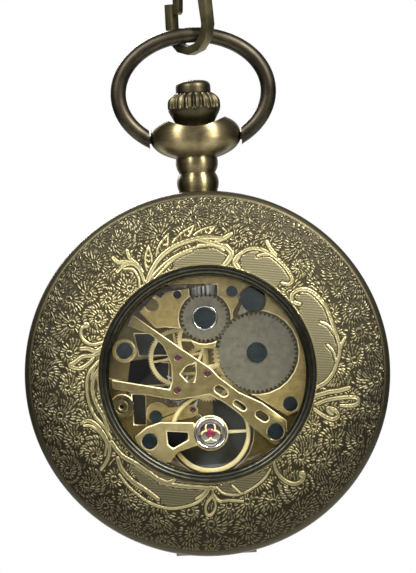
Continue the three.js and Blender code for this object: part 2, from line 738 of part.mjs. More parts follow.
const WHEEL_LOW = 2.6;
const WHEEL_TOP = 3.05;
const [crownR, ratchetR] = pitchRadii(TEETH.crownWheel, TEETH.ratchet, CROWN_WHEEL, BARREL);
const crownTurn = Math.PI / 2;
const ratchetTurn = meshTurn(TEETH.crownWheel, crownTurn, CROWN_WHEEL, TEETH.ratchet, BARREL);

function crownWheel() {
  const wheel = slab(toothed(TEETH.crownWheel, crownR), WHEEL_LOW, WHEEL_TOP);
  return cut(wheel, disc(1.6 + GAP, 0, 9, CENTRE, 24));
}

function ratchetWheel() {
  const wheel = slab(toothed(TEETH.ratchet, ratchetR), WHEEL_LOW, WHEEL_TOP);
  return cut(wheel, disc(1 + GAP, 0, 9, CENTRE, 16));
}

// The barrel's arbor: its foot in the plate, its head under the ratchet.
function barrelArbor() {
  const body = arbor(-0.55, [[0.9, 0.4], [1.4, 1.6], [1.2, 2.56], [1, 3]]);
  return cut(body, disc(SCREW_SHANK_R + GAP, 2.2, 9, CENTRE, TINY));
}

function windingPinion() {
  const pitchR = 1.46;
  const blank = slab(toothed(TEETH.windingPinion, pitchR), -0.62, 0.62).rotate([-90, 0, 0]);
  return cut(blank, rodY(0.6 + GAP, [-2, 2]));
}

function clickPawl() {
  const at = ([x, y]) => [x - CLICK[0], y - CLICK[1]];
  const pawl = slab(bar(CENTRE, at(CLICK_TIP), 1.1, 0.18), WHEEL_LOW, WHEEL_TOP);
  return cut(pawl, disc(SCREW_SHANK_R + GAP, 0, 9, CENTRE, TINY));
}

// A flat blade held by its screw, its free end beside the click.
function clickSpring() {
  const at = ([x, y]) => [x - SPRING_SCREW[0], y - SPRING_SCREW[1]];
  const blade = slab(bar(CENTRE, at([4.55, 9.6]), 0.65, 0.2), 3.05, 3.25);
  return cut(blade, disc(SCREW_SHANK_R + GAP, 0, 9, CENTRE, TINY));
}

place(movement, 'crown_wheel', crownWheel(), STEEL, CROWN_WHEEL, crownTurn);
place(movement, 'crown_wheel_screw', screw(1.38, 2.9, 3.2, 2.35), BLUED, CROWN_WHEEL, 0.7);
place(movement, 'ratchet_wheel', ratchetWheel(), STEEL, BARREL, ratchetTurn);
place(movement, 'ratchet_screw', screw(1.3, 3.1, 3.4, 2.3), BLUED, BARREL, 0.4);
place(movement, 'barrel_arbor', barrelArbor(), STEEL, BARREL);
place(movement, 'click', clickPawl(), STEEL, CLICK);
place(movement, 'click_screw', screw(1.49, 3.1, 3.5, 2.35), BLUED, CLICK, 1.9);
place(movement, 'click_spring', clickSpring(), STEEL, SPRING_SCREW);
place(movement, 'click_spring_screw', screw(0.7, 3.3, 3.65, -0.4), BLUED, SPRING_SCREW, 0.9);
const pinionMesh = place(movement, 'winding_pinion', windingPinion(), BRIGHT);
pinionMesh.position.set(0, 10.7, STEM_H);

// ----------------------------------------------------------- going train

const [barrelR, centrePinionR] = pitchRadii(TEETH.barrel, TEETH.centrePinion, BARREL, CENTRE);
const [centreR, thirdPinionR] = pitchRadii(TEETH.centre, TEETH.thirdPinion, CENTRE, THIRD);
const [thirdR, fourthPinionR] = pitchRadii(TEETH.third, TEETH.fourthPinion, THIRD, FOURTH);
const [fourthR, escapePinionR] = pitchRadii(TEETH.fourth, TEETH.escapePinion, FOURTH, ESCAPE);

const centreTurn = 0;
const barrelTurn = meshTurn(TEETH.centrePinion, centreTurn, CENTRE, TEETH.barrel, BARREL);
const thirdTurn = meshTurn(TEETH.centre, centreTurn, CENTRE, TEETH.thirdPinion, THIRD);
const fourthTurn = meshTurn(TEETH.third, thirdTurn, THIRD, TEETH.fourthPinion, FOURTH);
const escapeTurn = meshTurn(TEETH.fourth, fourthTurn, FOURTH, TEETH.escapePinion, ESCAPE);

// The drum, open at the middle for its arbor, with teeth around its foot.
function barrel() {
  const drumR = 5.3;
  const drum = disc(drumR, 0.45, 1.55, CENTRE, 24);
  const flange = slab(toothed(TEETH.barrel, barrelR, false), 0.45, 0.8);
  const hollow = ring(drumR - 0.25, 1.2, 0.65, 1.35, CENTRE, 24);
  return cut(joined(drum, flange), hollow, disc(1.4 + GAP, 0, 3, CENTRE, 16));
}

function centreWheel() {
  const wheel = cut(
    slab(toothed(TEETH.centre, centreR, false), 0.12, 0.3),
    ...crossings(4, 1.5, centreR - 0.6, 0.22, 0, 1),
  );
  const pinion = slab(toothed(TEETH.centrePinion, centrePinionR), 0.3, 0.85);
  return joined(
    wheel,
    pinion,
    arbor(-3, [[0.45, -1.2], [0.45, 0.2], [0.8, 0.9], [0.25, 2.8]]),
  );
}

function thirdWheel() {
  const wheel = cut(
    slab(toothed(TEETH.third, thirdR, false), 1.75, 1.93),
    ...crossings(5, 0.9, thirdR - 0.5, 0.2, 1, 3),
  );
  const pinion = slab(toothed(TEETH.thirdPinion, thirdPinionR), 0.08, 0.5);
  return joined(wheel, pinion, arbor(-0.9, [[PIVOT_R, 0.1], [0.22, 2.1], [PIVOT_R, 2.53]]));
}

function fourthWheel() {
  const wheel = cut(
    slab(toothed(TEETH.fourth, fourthR, false), 0.95, 1.13),
    ...crossings(4, 0.9, fourthR - 0.5, 0.18, 0, 3),
  );
  const pinion = slab(toothed(TEETH.fourthPinion, fourthPinionR), 1.65, 2.03);
  return joined(
    wheel,
    pinion,
    arbor(-0.9, [[PIVOT_R, 0.35], [0.22, 2.2], [PIVOT_R, 2.8]]),
  );
}

// Fifteen hooked teeth that lean into their direction of turn.
function escapeWheel() {
  const tipR = 2.25;
  const rootR = 1.75;
  const step = (2 * Math.PI) / TEETH.escape;
  const points = [];
  for (let tooth = 0; tooth < TEETH.escape; tooth += 1) {
    for (const [share, radius] of [[0, rootR], [0.42, tipR], [0.56, tipR], [0.5, rootR]]) {
      const angle = (tooth + share) * step;
      points.push([radius * Math.cos(angle), radius * Math.sin(angle)]);
    }
  }
  const wheel = cut(
    slab(polygon(points), 0.5, 0.65),
    ...crossings(4, 0.6, 1.4, 0.15, 0, 2),
  );
  const pinion = slab(toothed(TEETH.escapePinion, escapePinionR), 0.85, 1.25);
  return joined(
    wheel,
    pinion,
    arbor(-0.9, [[PIVOT_R, 0.2], [0.22, 2.2], [PIVOT_R, 2.8]]),
  );
}

// The lever, drawn about its own pivot. The stones reach towards the escape
// wheel and stop clear of its teeth; the fork reaches towards the balance.
function palletFork() {
  const low = 0.48;
  const top = 0.68;
  const toEscape = heading(PALLET, ESCAPE);
  const toBalance = heading(PALLET, BALANCE);
  const away = distance(PALLET, ESCAPE);
  const forkEnd = distance(PALLET, BALANCE) - 0.75;
  const out = (radius, angle) => [radius * Math.cos(angle), radius * Math.sin(angle)];
  const escapeAt = out(away, toEscape);
  const arms = [-1, 1].map((side) => {
    const [dx, dy] = out(2.75, toEscape + Math.PI + side * 0.62);
    return slab(bar(CENTRE, [escapeAt[0] + dx, escapeAt[1] + dy], 0.4, 0.2), low, top);
  });
  const lever = slab(bar(CENTRE, out(forkEnd - 0.6, toBalance), 0.35, 0.2), low, top);
  const horns = [-1, 1].map((side) => slab(
    bar(out(forkEnd - 0.7, toBalance), out(forkEnd, toBalance + side * 0.11), 0.2, 0.12),
    low,
    top,
  ));
  const axle = arbor(-0.9, [[PIVOT_R, 0.3], [0.22, 0.85], [PIVOT_R, 1.1]]);
  return joined(axle, ...arms, lever, ...horns);
}

function balanceWheel() {
  const rim = ring(5.2, 4.6, 1.5, 2.1, CENTRE, 32);
  const arms = box([-4.8, 4.8], [-0.25, 0.25], [1.6, 1.85]);
  const roller = disc(1.3, 0.8, 0.98);
  const staff = arbor(-0.9, [[PIVOT_R, 0.1], [0.3, 2.6], [PIVOT_R, 3.2]]);
  return joined(rim, arms, roller, staff, disc(0.55, 2.2, 2.6, CENTRE, TINY));
}

// A flat coil of ribbon between the collet and the stud.
function hairspring() {
  const turns = 3;
  const perTurn = 12;
  const steps = turns * perTurn;
  const [innerR, outerR, ribbon] = [0.75, 2.4, 0.06];
  const side = (offset) => Array.from({ length: steps + 1 }, (_, i) => {
    const radius = innerR + ((outerR - innerR) * i) / steps + offset;
    const angle = (2 * Math.PI * i) / perTurn;
    return [radius * Math.cos(angle), radius * Math.sin(angle)];
  });
  return slab(polygon([...side(ribbon), ...side(-ribbon).reverse()]), 2.28, 2.52);
}

place(movement, 'barrel', barrel(), GILT, BARREL, barrelTurn);
place(movement, 'mainspring', ring(4.95, 3.4, 0.7, 1.3, CENTRE, 24), STEEL, BARREL);
place(movement, 'centre_wheel', centreWheel(), GILT, CENTRE, centreTurn);
place(movement, 'third_wheel', thirdWheel(), GILT, THIRD, thirdTurn);
place(movement, 'fourth_wheel', fourthWheel(), GILT, FOURTH, fourthTurn);
place(movement, 'escape_wheel', escapeWheel(), STEEL, ESCAPE, escapeTurn);
place(movement, 'pallet_fork', palletFork(), STEEL, PALLET);
place(movement, 'balance_wheel', balanceWheel(), GILT, BALANCE);
place(movement, 'hairspring', hairspring(), STEEL, BALANCE);

// ----------------------------------------------------------- motion work

const [cannonR, minuteR] = pitchRadii(TEETH.cannon, TEETH.minute, CENTRE, MINUTE_WHEEL);
const [minutePinionR, hourR] = pitchRadii(TEETH.minutePinion, TEETH.hour, MINUTE_WHEEL, CENTRE);
const cannonTurn = 0;
const minuteTurn = meshTurn(TEETH.cannon, cannonTurn, CENTRE, TEETH.minute, MINUTE_WHEEL);
const hourTurn = meshTurn(TEETH.minutePinion, minuteTurn, MINUTE_WHEEL, TEETH.hour, CENTRE);

function cannonPinion() {
  return cut(
    joined(
      slab(toothed(TEETH.cannon, cannonR), -1.75, -1.4),
      disc(0.7, -2.6, -1.7),
      disc(0.6, -2.92, -2.5),
    ),
    disc(0.45 + GAP, -4, 0, CENTRE, TINY),
  );
}

function minuteWheel() {
  return cut(
    joined(
      slab(toothed(TEETH.minute, minuteR, false), -1.6, -1.45),
      slab(toothed(TEETH.minutePinion, minutePinionR), -2, -1.6),
    ),
    disc(0.3 + GAP, -1.8, 0, CENTRE, TINY),
  );
}

function hourWheel() {
  return cut(
    joined(
      slab(toothed(TEETH.hour, hourR, false), -1.95, -1.8),
      disc(1.05, -2.62, -1.9),
    ),
    disc(0.7 + GAP, -4, 0),
  );
}

// A hand pointing along its heading, with a round eye near its tip.
function hand(length, hubR, boreR, low, top, angle) {
  const at = (radius) => [radius * Math.cos(angle), radius * Math.sin(angle)];
  const eye = length * 0.66;
  return cut(
    joined(
      disc(hubR, low, top),
      slab(bar(CENTRE, at(eye), 0.45, 0.3), low, top),
      disc(0.95, low, top, at(eye)),
      slab(bar(at(eye), at(length), 0.4, 0.08), low, top),
    ),
    disc(boreR, low - 1, top + 1),
    disc(0.5, low - 1, top + 1, at(eye), 12),
  );
}

place(movement, 'cannon_pinion', cannonPinion(), STEEL, CENTRE, cannonTurn);
place(movement, 'minute_wheel', minuteWheel(), GILT, MINUTE_WHEEL, minuteTurn);
place(movement, 'hour_wheel', hourWheel(), GILT, CENTRE, hourTurn);
place(movement, 'hour_hand', hand(7, 1.5, 1.05 + GAP, -2.62, -2.5, Math.PI * 0.8), GILT);
place(movement, 'minute_hand', hand(11.2, 1.1, 0.6 + GAP, -2.87, -2.75, Math.PI * 0.3), GILT);

// -------------------------------------------------------------- assembly

const watch = new THREE.Group();
face.rotation.x = Math.PI / 2;
face.position.z = -HANG_Y;
watch.add(face);

export default watch;
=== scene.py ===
# Looks of a hand-wound skeleton pocket watch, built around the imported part.
#
# Shapes are drawn in the part's "face" frame: millimetres, x to the right,
# y up along the winding stem, z towards whoever looks at the back, with the
# centre of the case at 0. to_row() turns that into the row frame in metres.

import math

import bmesh
import bpy
import numpy as np
from mathutils import Matrix, Vector


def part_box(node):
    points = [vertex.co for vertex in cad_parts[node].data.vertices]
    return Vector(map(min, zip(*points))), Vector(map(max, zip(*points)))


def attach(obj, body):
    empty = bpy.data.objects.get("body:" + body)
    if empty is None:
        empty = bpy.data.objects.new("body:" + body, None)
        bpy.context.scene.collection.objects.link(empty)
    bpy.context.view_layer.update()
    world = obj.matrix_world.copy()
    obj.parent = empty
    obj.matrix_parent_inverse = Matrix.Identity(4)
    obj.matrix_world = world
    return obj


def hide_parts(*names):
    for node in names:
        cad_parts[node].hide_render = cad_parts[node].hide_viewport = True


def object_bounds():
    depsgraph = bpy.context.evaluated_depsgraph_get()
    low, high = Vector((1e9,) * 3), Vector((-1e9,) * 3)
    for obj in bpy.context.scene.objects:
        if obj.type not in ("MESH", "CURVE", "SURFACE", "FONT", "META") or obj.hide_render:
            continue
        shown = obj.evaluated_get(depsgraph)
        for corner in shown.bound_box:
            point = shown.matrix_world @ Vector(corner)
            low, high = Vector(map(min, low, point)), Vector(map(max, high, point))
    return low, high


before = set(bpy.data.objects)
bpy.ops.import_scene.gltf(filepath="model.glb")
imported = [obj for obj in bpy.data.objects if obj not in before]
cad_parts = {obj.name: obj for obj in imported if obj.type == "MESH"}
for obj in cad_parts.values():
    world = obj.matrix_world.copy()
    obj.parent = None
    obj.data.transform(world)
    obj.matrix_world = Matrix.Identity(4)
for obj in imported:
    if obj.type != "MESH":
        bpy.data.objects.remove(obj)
cad_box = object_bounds()

MM = 0.001
TURN = 2 * math.pi
rng = np.random.default_rng(11)
ring_low, ring_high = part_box("back_window_ring")
HUB = (ring_low + ring_high) / 2


def to_row(points):
    p = np.asarray(points, float)
    return np.column_stack([HUB.x + p[:, 0] * MM, -p[:, 2] * MM, HUB.z + p[:, 1] * MM])


def span(node):
    """Lowest and highest corner of a CAD node, in the face frame."""
    low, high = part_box(node)
    return (np.array([low.x - HUB.x, low.z - HUB.z, -high.y]) / MM,
            np.array([high.x - HUB.x, high.z - HUB.z, -low.y]) / MM)


def middle(node):
    """Centre of a CAD node, seen from the back."""
    low, high = span(node)
    return (low[:2] + high[:2]) / 2


def levels(node):
    """Lowest and highest z of a CAD node."""
    low, high = span(node)
    return low[2], high[2]


# -------------------------------------------------------------- materials


def linear(hex_colour):
    """An sRGB hex colour as linear RGBA."""
    parts = [int(hex_colour[i:i + 2], 16) / 255 for i in (0, 2, 4)]
    return tuple(((c + 0.055) / 1.055) ** 2.4 if c > 0.04 else c / 12.92 for c in parts) + (1.0,)


class Tree:
    """A node tree, with short ways to add nodes and join them."""

    def __init__(self, tree):
        self.tree = tree

    def feed(self, node, inputs):
        """Sets a node's inputs, or links them to the sockets given; returns the node."""
        for key, value in inputs.items():
            if isinstance(value, bpy.types.NodeSocket):
                self.tree.links.new(value, node.inputs[key])
            else:
                node.inputs[key].default_value = value
        return node

    def add(self, kind, inputs=None, **settings):
        node = self.tree.nodes.new(kind)
        for key, value in settings.items():
            setattr(node, key, value)
        return self.feed(node, inputs or {})

    def place(self, kind="Object"):
        return self.add("ShaderNodeTexCoord").outputs[kind]

    def noise(self, scale, stretch=(1, 1, 1), detail=4.0, distortion=0.0):
        """Noise over the piece's own coordinates, scale in waves per mm."""
        place = self.add("ShaderNodeMapping", {"Vector": self.place(), "Scale": stretch})
        return self.add("ShaderNodeTexNoise", {
            "Vector": place.outputs["Vector"], "Scale": scale / MM, "Detail": detail,
            "Distortion": distortion,
        }).outputs["Fac"]

    def ramp(self, factor, stops):
        ramp = self.add("ShaderNodeValToRGB", {"Fac": factor})
        elements = ramp.color_ramp.elements
        while len(elements) < len(stops):
            elements.new(0.5)
        for element, (position, colour) in zip(elements, stops):
            element.position = position
            element.color = linear(colour)
        return ramp.outputs["Color"]

    def mix(self, factor, first, second, blend="MIX"):
        colours = {"Factor": factor, 6: first, 7: second}  # 6 and 7 are the node's colour sockets
        return self.add("ShaderNodeMix", colours, data_type="RGBA", blend_type=blend).outputs[2]

    def math(self, operation, first, second):
        return self.add("ShaderNodeMath", {0: first, 1: second}, operation=operation).outputs[0]

    def remap(self, value, low, high):
        """Value 0..1 as low..high."""
        ends = {"Value": value, "To Min": low, "To Max": high}
        return self.add("ShaderNodeMapRange", ends).outputs["Result"]

    def grade(self, axis, start, end, low, high, kind="Object"):
        """A smooth change from low to high between two places along an axis."""
        split = self.add("ShaderNodeSeparateXYZ", {0: self.place(kind)})
        return self.add("ShaderNodeMapRange", {
            "Value": split.outputs[axis], "From Min": start, "From Max": end,
            "To Min": low, "To Max": high,
        }, interpolation_type="SMOOTHSTEP").outputs["Result"]


class Material(Tree):
    """A material's tree, with its Principled shader."""

    def __init__(self, name):
        self.material = bpy.data.materials.new(name)
        self.material.use_nodes = True
        super().__init__(self.material.node_tree)
        self.shader = self.tree.nodes["Principled BSDF"]
        self.output = self.tree.nodes["Material Output"]

    def darken(self, colour, axis, start, end, share):
        """Only that share of a colour is left at start, and all of it at end."""
        return self.mix(1.0, colour, self.grade(axis, start, end, share, 1.0), "MULTIPLY")

    def bump(self, height, strength, depth):
        """Bump of the given depth in mm."""
        bump = {"Height": height, "Strength": strength, "Distance": depth * MM}
        self.feed(self.shader, {"Normal": self.add("ShaderNodeBump", bump).outputs["Normal"]})

    def finish(self, colour, roughness, metallic=1.0):
        self.feed(self.shader, {"Base Color": colour, "Roughness": roughness, "Metallic": metallic})
        return self.material


def metal(name, stops, rough, scale=1.2, grain=(1, 1, 1), grain_scale=9.0, depth=0.004, recess_shade=None,
          turned=0.0, mirror=1.0):
    """A metal with clouded tarnish and a fine grain. A painted shade in the recesses is set by
    (low, high, share): below height low, in mm, only that share of the colour is left. turned is how
    far the gloss is drawn out along the axis of a part finished on a lathe.
    mirror is below 1 where a frosted finish scatters part of the light."""
    made = Material(name)
    if turned:
        tangent = made.add("ShaderNodeTangent", direction_type="RADIAL", axis="Z")
        made.feed(made.shader, {
            "Anisotropic": turned, "Anisotropic Rotation": 0.25, "Tangent": tangent.outputs[0],
        })
    clouds = made.noise(scale, detail=6.0, distortion=0.4)
    fine = made.noise(grain_scale, grain, detail=3.0)
    blend = made.math("ADD", made.math("MULTIPLY", clouds, 0.65), made.math("MULTIPLY", fine, 0.35))
    made.bump(fine, 0.5, depth)
    colour = made.ramp(blend, stops)
    # Painted shade: the colour darkens down in the recesses, below the given heights.
    if recess_shade:
        low, high, share = recess_shade
        colour = made.darken(colour, "Y", -low * MM, -high * MM, share)
    return made.finish(colour, made.remap(fine, *rough), mirror)


# Painted shade: the case is darkest at its lower end, away from the light above; heights in mm from its
# middle, and the share left.
CASE_SHADE_LOW, CASE_SHADE_HIGH, CASE_SHADE_SHARE = -16, 8, 0.58
PANEL_PITCH = 0.21  # mm between the panels' lines


def engraved_metal(name):
    """Stamped antique bronze: dark in the recesses, rubbed bright on top."""
    made = Material(name)
    relief, worn, panel = (
        made.add("ShaderNodeAttribute", attribute_name=label).outputs["Fac"]
        for label in ("tone", "worn", "panel")
    )
    clouds = made.noise(0.35, detail=5.0)
    aged = made.ramp(relief, [(0.0, "322e24"), (0.4, "484332"), (0.7, "666049"), (1.0, "7b745b")])
    rubbed = made.ramp(relief, [(0.0, "4b442f"), (0.35, "6c6444"), (0.65, "9a9068"), (1.0, "cfc391")])
    colour = made.mix(made.math("MULTIPLY", worn, made.remap(clouds, 0.6, 1.3)), aged, rubbed)
    waves = made.add("ShaderNodeTexWave", {
        "Vector": made.place(), "Scale": TURN / (20 * PANEL_PITCH * MM), "Distortion": 2.6,
        "Detail Scale": 0.25,
    }, bands_direction="Z")
    lines = made.ramp(waves.outputs["Fac"], [(0.1, "5c563f"), (0.5, "777053"), (0.9, "979071")])
    colour = made.mix(panel, colour, lines)
    # Painted shade, darker towards the case's lower end.
    case_shade = (HUB.z + CASE_SHADE_LOW * MM, HUB.z + CASE_SHADE_HIGH * MM, CASE_SHADE_SHARE)
    colour = made.darken(colour, "Z", *case_shade)
    made.bump(made.noise(7.0, detail=3.0), 0.4, 0.004)
    return made.finish(colour, made.remap(relief, 0.55, 0.38))


def glass(name):
    """Clear thin glass: a Fresnel share of gloss over a see-through sheet."""
    made = Material(name)
    clear = made.add("ShaderNodeBsdfTransparent", {"Color": (0.97, 0.975, 0.97, 1)})
    gloss = made.add("ShaderNodeBsdfGlossy", {"Roughness": 0.03})
    fresnel = made.add("ShaderNodeFresnel", {"IOR": 1.5}).outputs[0]
    smears = made.remap(made.noise(0.25, detail=2.0), 1.0, 1.5)
    outside = made.math("SUBTRACT", 1.0, made.add("ShaderNodeNewGeometry").outputs["Backfacing"])
    share = made.math("MULTIPLY", made.math("MULTIPLY", fresnel, smears), outside)
    mix = made.add("ShaderNodeMixShader", {0: share, 1: clear.outputs[0], 2: gloss.outputs[0]})
    made.feed(made.output, {"Surface": mix.outputs[0]})
    made.tree.nodes.remove(made.shader)
    return made.material


def clouded(name, scale, stops, roughness, coat=0.0):
    """Stone, ink or paint with faint clouds of colour, scale in waves per mm."""
    made = Material(name)
    made.feed(made.shader, {"Coat Weight": coat})
    return made.finish(made.ramp(made.noise(scale), stops), roughness, 0.0)


def enamel(name):
    """Black enamel on the dial's face, over grey metal towards the movement."""
    made = Material(name)
    made.bump(made.noise(3.0), 0.3, 0.003)
    clouds = made.noise(0.3)
    black = made.ramp(clouds, [(0.3, "0d1217"), (0.6, "141b21"), (0.85, "1d262c")])
    bare = made.ramp(clouds, [(0.3, "4a4f50"), (0.6, "606564"), (0.85, "747874")])
    facing = made.add("ShaderNodeSeparateXYZ", {0: made.place("Normal")})
    inner = made.math("LESS_THAN", facing.outputs["Y"], 0.0)
    return made.finish(made.mix(inner, black, bare), 0.35, 0.0)


BRONZE = metal("antique_bronze_plain", [(0.3, "38342a"), (0.5, "4f4a39"), (0.75, "6e674c")], (0.34, 0.48))
SATIN = metal(
    "satin_bronze", [(0.3, "524936"), (0.5, "71674a"), (0.75, "948760")], (0.34, 0.42),
    scale=0.5, grain=(0.1, 0.1, 1), grain_scale=10.0, depth=0.003, turned=0.85,
)
CROWN_BRONZE = metal(
    "crown_bronze", [(0.3, "332e24"), (0.5, "413b2b"), (0.75, "59523b")], (0.36, 0.46), scale=0.6,
)
GUNMETAL = metal(
    "dark_bronze_wire", [(0.3, "2b2722"), (0.5, "39342a"), (0.75, "524a3a")], (0.38, 0.48), scale=0.35,
)
HOOK = metal(
    "hook_bronze", [(0.3, "4f4836"), (0.5, "665e45"), (0.75, "81775a")], (0.38, 0.48), scale=0.5,
)
RING = metal("window_ring_black", [(0.3, "2b2a24"), (0.6, "403f35"), (0.85, "5b594d")], (0.26, 0.4))
ENGRAVED = engraved_metal("engraved_bronze")

# Painted light on the movement's brass: a painted shade darkens it down in its recesses, and its polished
# bevelled edges get a painted highlight in a near-white colour.
BRASS_STOPS = [(0.25, "a9925a"), (0.5, "cfb672"), (0.8, "ecd694")]
# Near-white colour of the polished bevels: a painted highlight along the movement's edges.
EDGE_HIGHLIGHT_STOPS = [(0.3, "ecdca8"), (0.7, "fff3cc")]
# Painted shade in the recesses of each part: (low, high, share).
PLATE_RECESS_SHADE = (-1.2, 0.35, 0.5)
BARREL_RECESS_SHADE = (1.5, 1.86, 0.25)
BRIDGE_RECESS_SHADE = (1.2, 1.95, 0.3)
COCK_RECESS_SHADE = (2.0, 2.5, 0.35)
LOW_RECESS_SHADE = (-0.4, 0.25, 0.4)


def brass(name, recess_shade, stops=BRASS_STOPS):
    """Brass with a lengthwise grain, and a painted shade down in its recesses."""
    return metal(name, stops, (0.3, 0.42), grain=(0.12, 1, 1), grain_scale=14.0, recess_shade=recess_shade)


# Polished bevels in a near-white colour, a painted highlight, with the same painted shade in the recesses.
def painted_highlight_edge(name, recess_shade=None):
    return metal(name, EDGE_HIGHLIGHT_STOPS, (0.55, 0.7), recess_shade=recess_shade)


PLATE, PLATE_EDGE_HIGHLIGHT = brass("plate_brass", PLATE_RECESS_SHADE), painted_highlight_edge("plate_edge")
BARREL_BRASS = brass("barrel_bridge_brass", BARREL_RECESS_SHADE)
BARREL_EDGE_HIGHLIGHT = painted_highlight_edge("barrel_bridge_edge", BARREL_RECESS_SHADE)
BRIDGE = brass("bridge_brass", BRIDGE_RECESS_SHADE, [(0.25, "83744b"), (0.5, "a59460"), (0.8, "c3b17b")])
BRIDGE_EDGE_HIGHLIGHT = painted_highlight_edge("bridge_edge", BRIDGE_RECESS_SHADE)
LOW_BRASS, LOW_EDGE_HIGHLIGHT = brass("pallet_bridge_brass", LOW_RECESS_SHADE), painted_highlight_edge("pallet_bridge_edge", LOW_RECESS_SHADE)
COCK = metal(
    "cock_brass", [(0.25, "bfab73"), (0.5, "dcc98d"), (0.8, "f2e0ab")], (0.28, 0.4),
    scale=0.8, recess_shade=COCK_RECESS_SHADE,
)
COCK_EDGE_HIGHLIGHT = painted_highlight_edge("cock_edge", COCK_RECESS_SHADE)
GILT = metal(
    "gilt_brass", [(0.25, "e6d08c"), (0.5, "fbe8a8"), (0.8, "fff6cc")], (0.3, 0.44), scale=0.8, mirror=0.55,
)
STEEL = metal(
    "satin_steel", [(0.25, "7d7967"), (0.5, "999480"), (0.8, "b2ad98")], (0.3, 0.42),
    grain=(1, 1, 0.06), grain_scale=16.0,
)
BRIGHT = metal("bright_steel", [(0.25, "a9a8a3"), (0.5, "cac8c2"), (0.8, "e6e4dd")], (0.1, 0.2), scale=0.7)
# Near-white, mostly unmetallic steel for the winding pinion's leaves: a painted highlight.
PINION_HIGHLIGHT_STEEL = metal("pinion_steel_painted_highlight", [(0.3, "e8e6de"), (0.7, "ffffff")], (0.5, 0.6), mirror=0.15)
BLUED = metal("blued_steel", [(0.25, "293335"), (0.5, "3d4a4c"), (0.8, "556466")], (0.24, 0.36), scale=0.9)
RUBY = clouded("ruby", 2.0, [(0.3, "5a1020"), (0.6, "8c2038"), (0.85, "b84458")], 0.12, coat=0.6)
DARK_RUBY = clouded("ruby_deep", 2.0, [(0.3, "2c0a12"), (0.6, "4e1622"), (0.85, "74303c")], 0.2)
GLASS = glass("clear_glass")
DIAL = enamel("dial_enamel")
INK = clouded("numeral_ink", 1.5, [(0.3, "d2c7a8"), (0.7, "e6ddc4")], 0.5)
PALE = clouded("pale_floor", 0.02, [(0.3, "f2f2f0"), (0.7, "f7f7f5")], 0.6)

# ---------------------------------------------------------- mesh building


def smoother(angle):
    """Geometry nodes that shade smooth below the angle and sharp above it."""
    group = bpy.data.node_groups.new("shade_smooth", "GeometryNodeTree")
    for way in ("INPUT", "OUTPUT"):
        group.interface.new_socket("Geometry", in_out=way, socket_type="NodeSocketGeometry")
    made = Tree(group)
    start = made.add("NodeGroupInput").outputs[0]
    plain = made.add("GeometryNodeRemoveAttribute", {"Geometry": start, "Name": "custom_normal"})
    faces = made.add("GeometryNodeSetShadeSmooth", {
        "Geometry": plain.outputs["Geometry"], "Shade Smooth": True,
    })
    bend = made.add("GeometryNodeInputMeshEdgeAngle").outputs["Unsigned Angle"]
    steep = made.add("FunctionNodeCompare", {0: bend, 1: math.radians(angle)})
    edges = made.add("GeometryNodeSetShadeSmooth", {
        "Geometry": faces.outputs["Geometry"], "Selection": steep.outputs[0], "Shade Smooth": False,
    }, domain="EDGE")
    made.add("NodeGroupOutput", {0: edges.outputs["Geometry"]})
    return group


SMOOTH = smoother(38)


def smooth(obj):
    obj.modifiers.new("smooth", "NODES").node_group = SMOOTH


def dress(node, material, bevel=0.03, segments=2, edge=None):
    """Gives a CAD node its finish and rounds its edges by bevel mm, in a finish
    of their own if one is given (on the movement's plates and bridges, a painted
    highlight); its shape stays."""
    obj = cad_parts[node]
    obj.data.materials.clear()
    obj.data.materials.append(material)
    obj.modifiers.new("weld", "WELD").merge_threshold = 0.002 * MM
    flat = obj.modifiers.new("flat", "DECIMATE")
    flat.decimate_type = "DISSOLVE"
    flat.angle_limit = math.radians(1)
    rounding = obj.modifiers.new("bevel", "BEVEL")
    rounding.width = bevel * MM
    rounding.segments = segments
    rounding.limit_method = "ANGLE"
    rounding.angle_limit = math.radians(32)
    if edge:
        rounding.use_clamp_overlap = False
        obj.data.materials.append(edge)
        rounding.material = 1
    smooth(obj)


def settle(name, mesh, material, body, replaces=()):
    """A mesh as a finished piece that rides on a body."""
    mesh.materials.append(material)
    obj = bpy.data.objects.new(name, mesh)
    bpy.context.scene.collection.objects.link(obj)
    smooth(obj)
    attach(obj, body)
    if replaces:
        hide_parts(*replaces)


def piece(name, parts, material, body, replaces=()):
    """A new piece from (points, faces) parts in the face frame."""
    points, faces, count = [], [], 0
    for part_points, part_faces in parts:
        points.append(to_row(part_points))
        faces += [[int(i) + count for i in face] for face in part_faces]
        count += len(part_points)
    mesh = bpy.data.meshes.new(name)
    mesh.from_pydata(np.vstack(points).tolist(), [], faces)
    work = bmesh.new()
    work.from_mesh(mesh)
    bmesh.ops.remove_doubles(work, verts=work.verts, dist=1e-4 * MM)
    bmesh.ops.dissolve_degenerate(work, edges=work.edges, dist=1e-5 * MM)
    bmesh.ops.recalc_face_normals(work, faces=work.faces)
    work.to_mesh(mesh)
    work.free()
    settle(name, mesh, material, body, replaces)


def quads(rows, columns, wrap_rows=True):
    """Faces of a grid of points whose columns close on themselves."""
    i = np.arange(rows if wrap_rows else rows - 1)[:, None]
    j = np.arange(columns)[None, :]
    here, right = i * columns + j, i * columns + (j + 1) % columns
    below = ((i + 1) % rows) * columns
    return np.stack([here, right, below + (j + 1) % columns, below + j], -1).reshape(-1, 4)


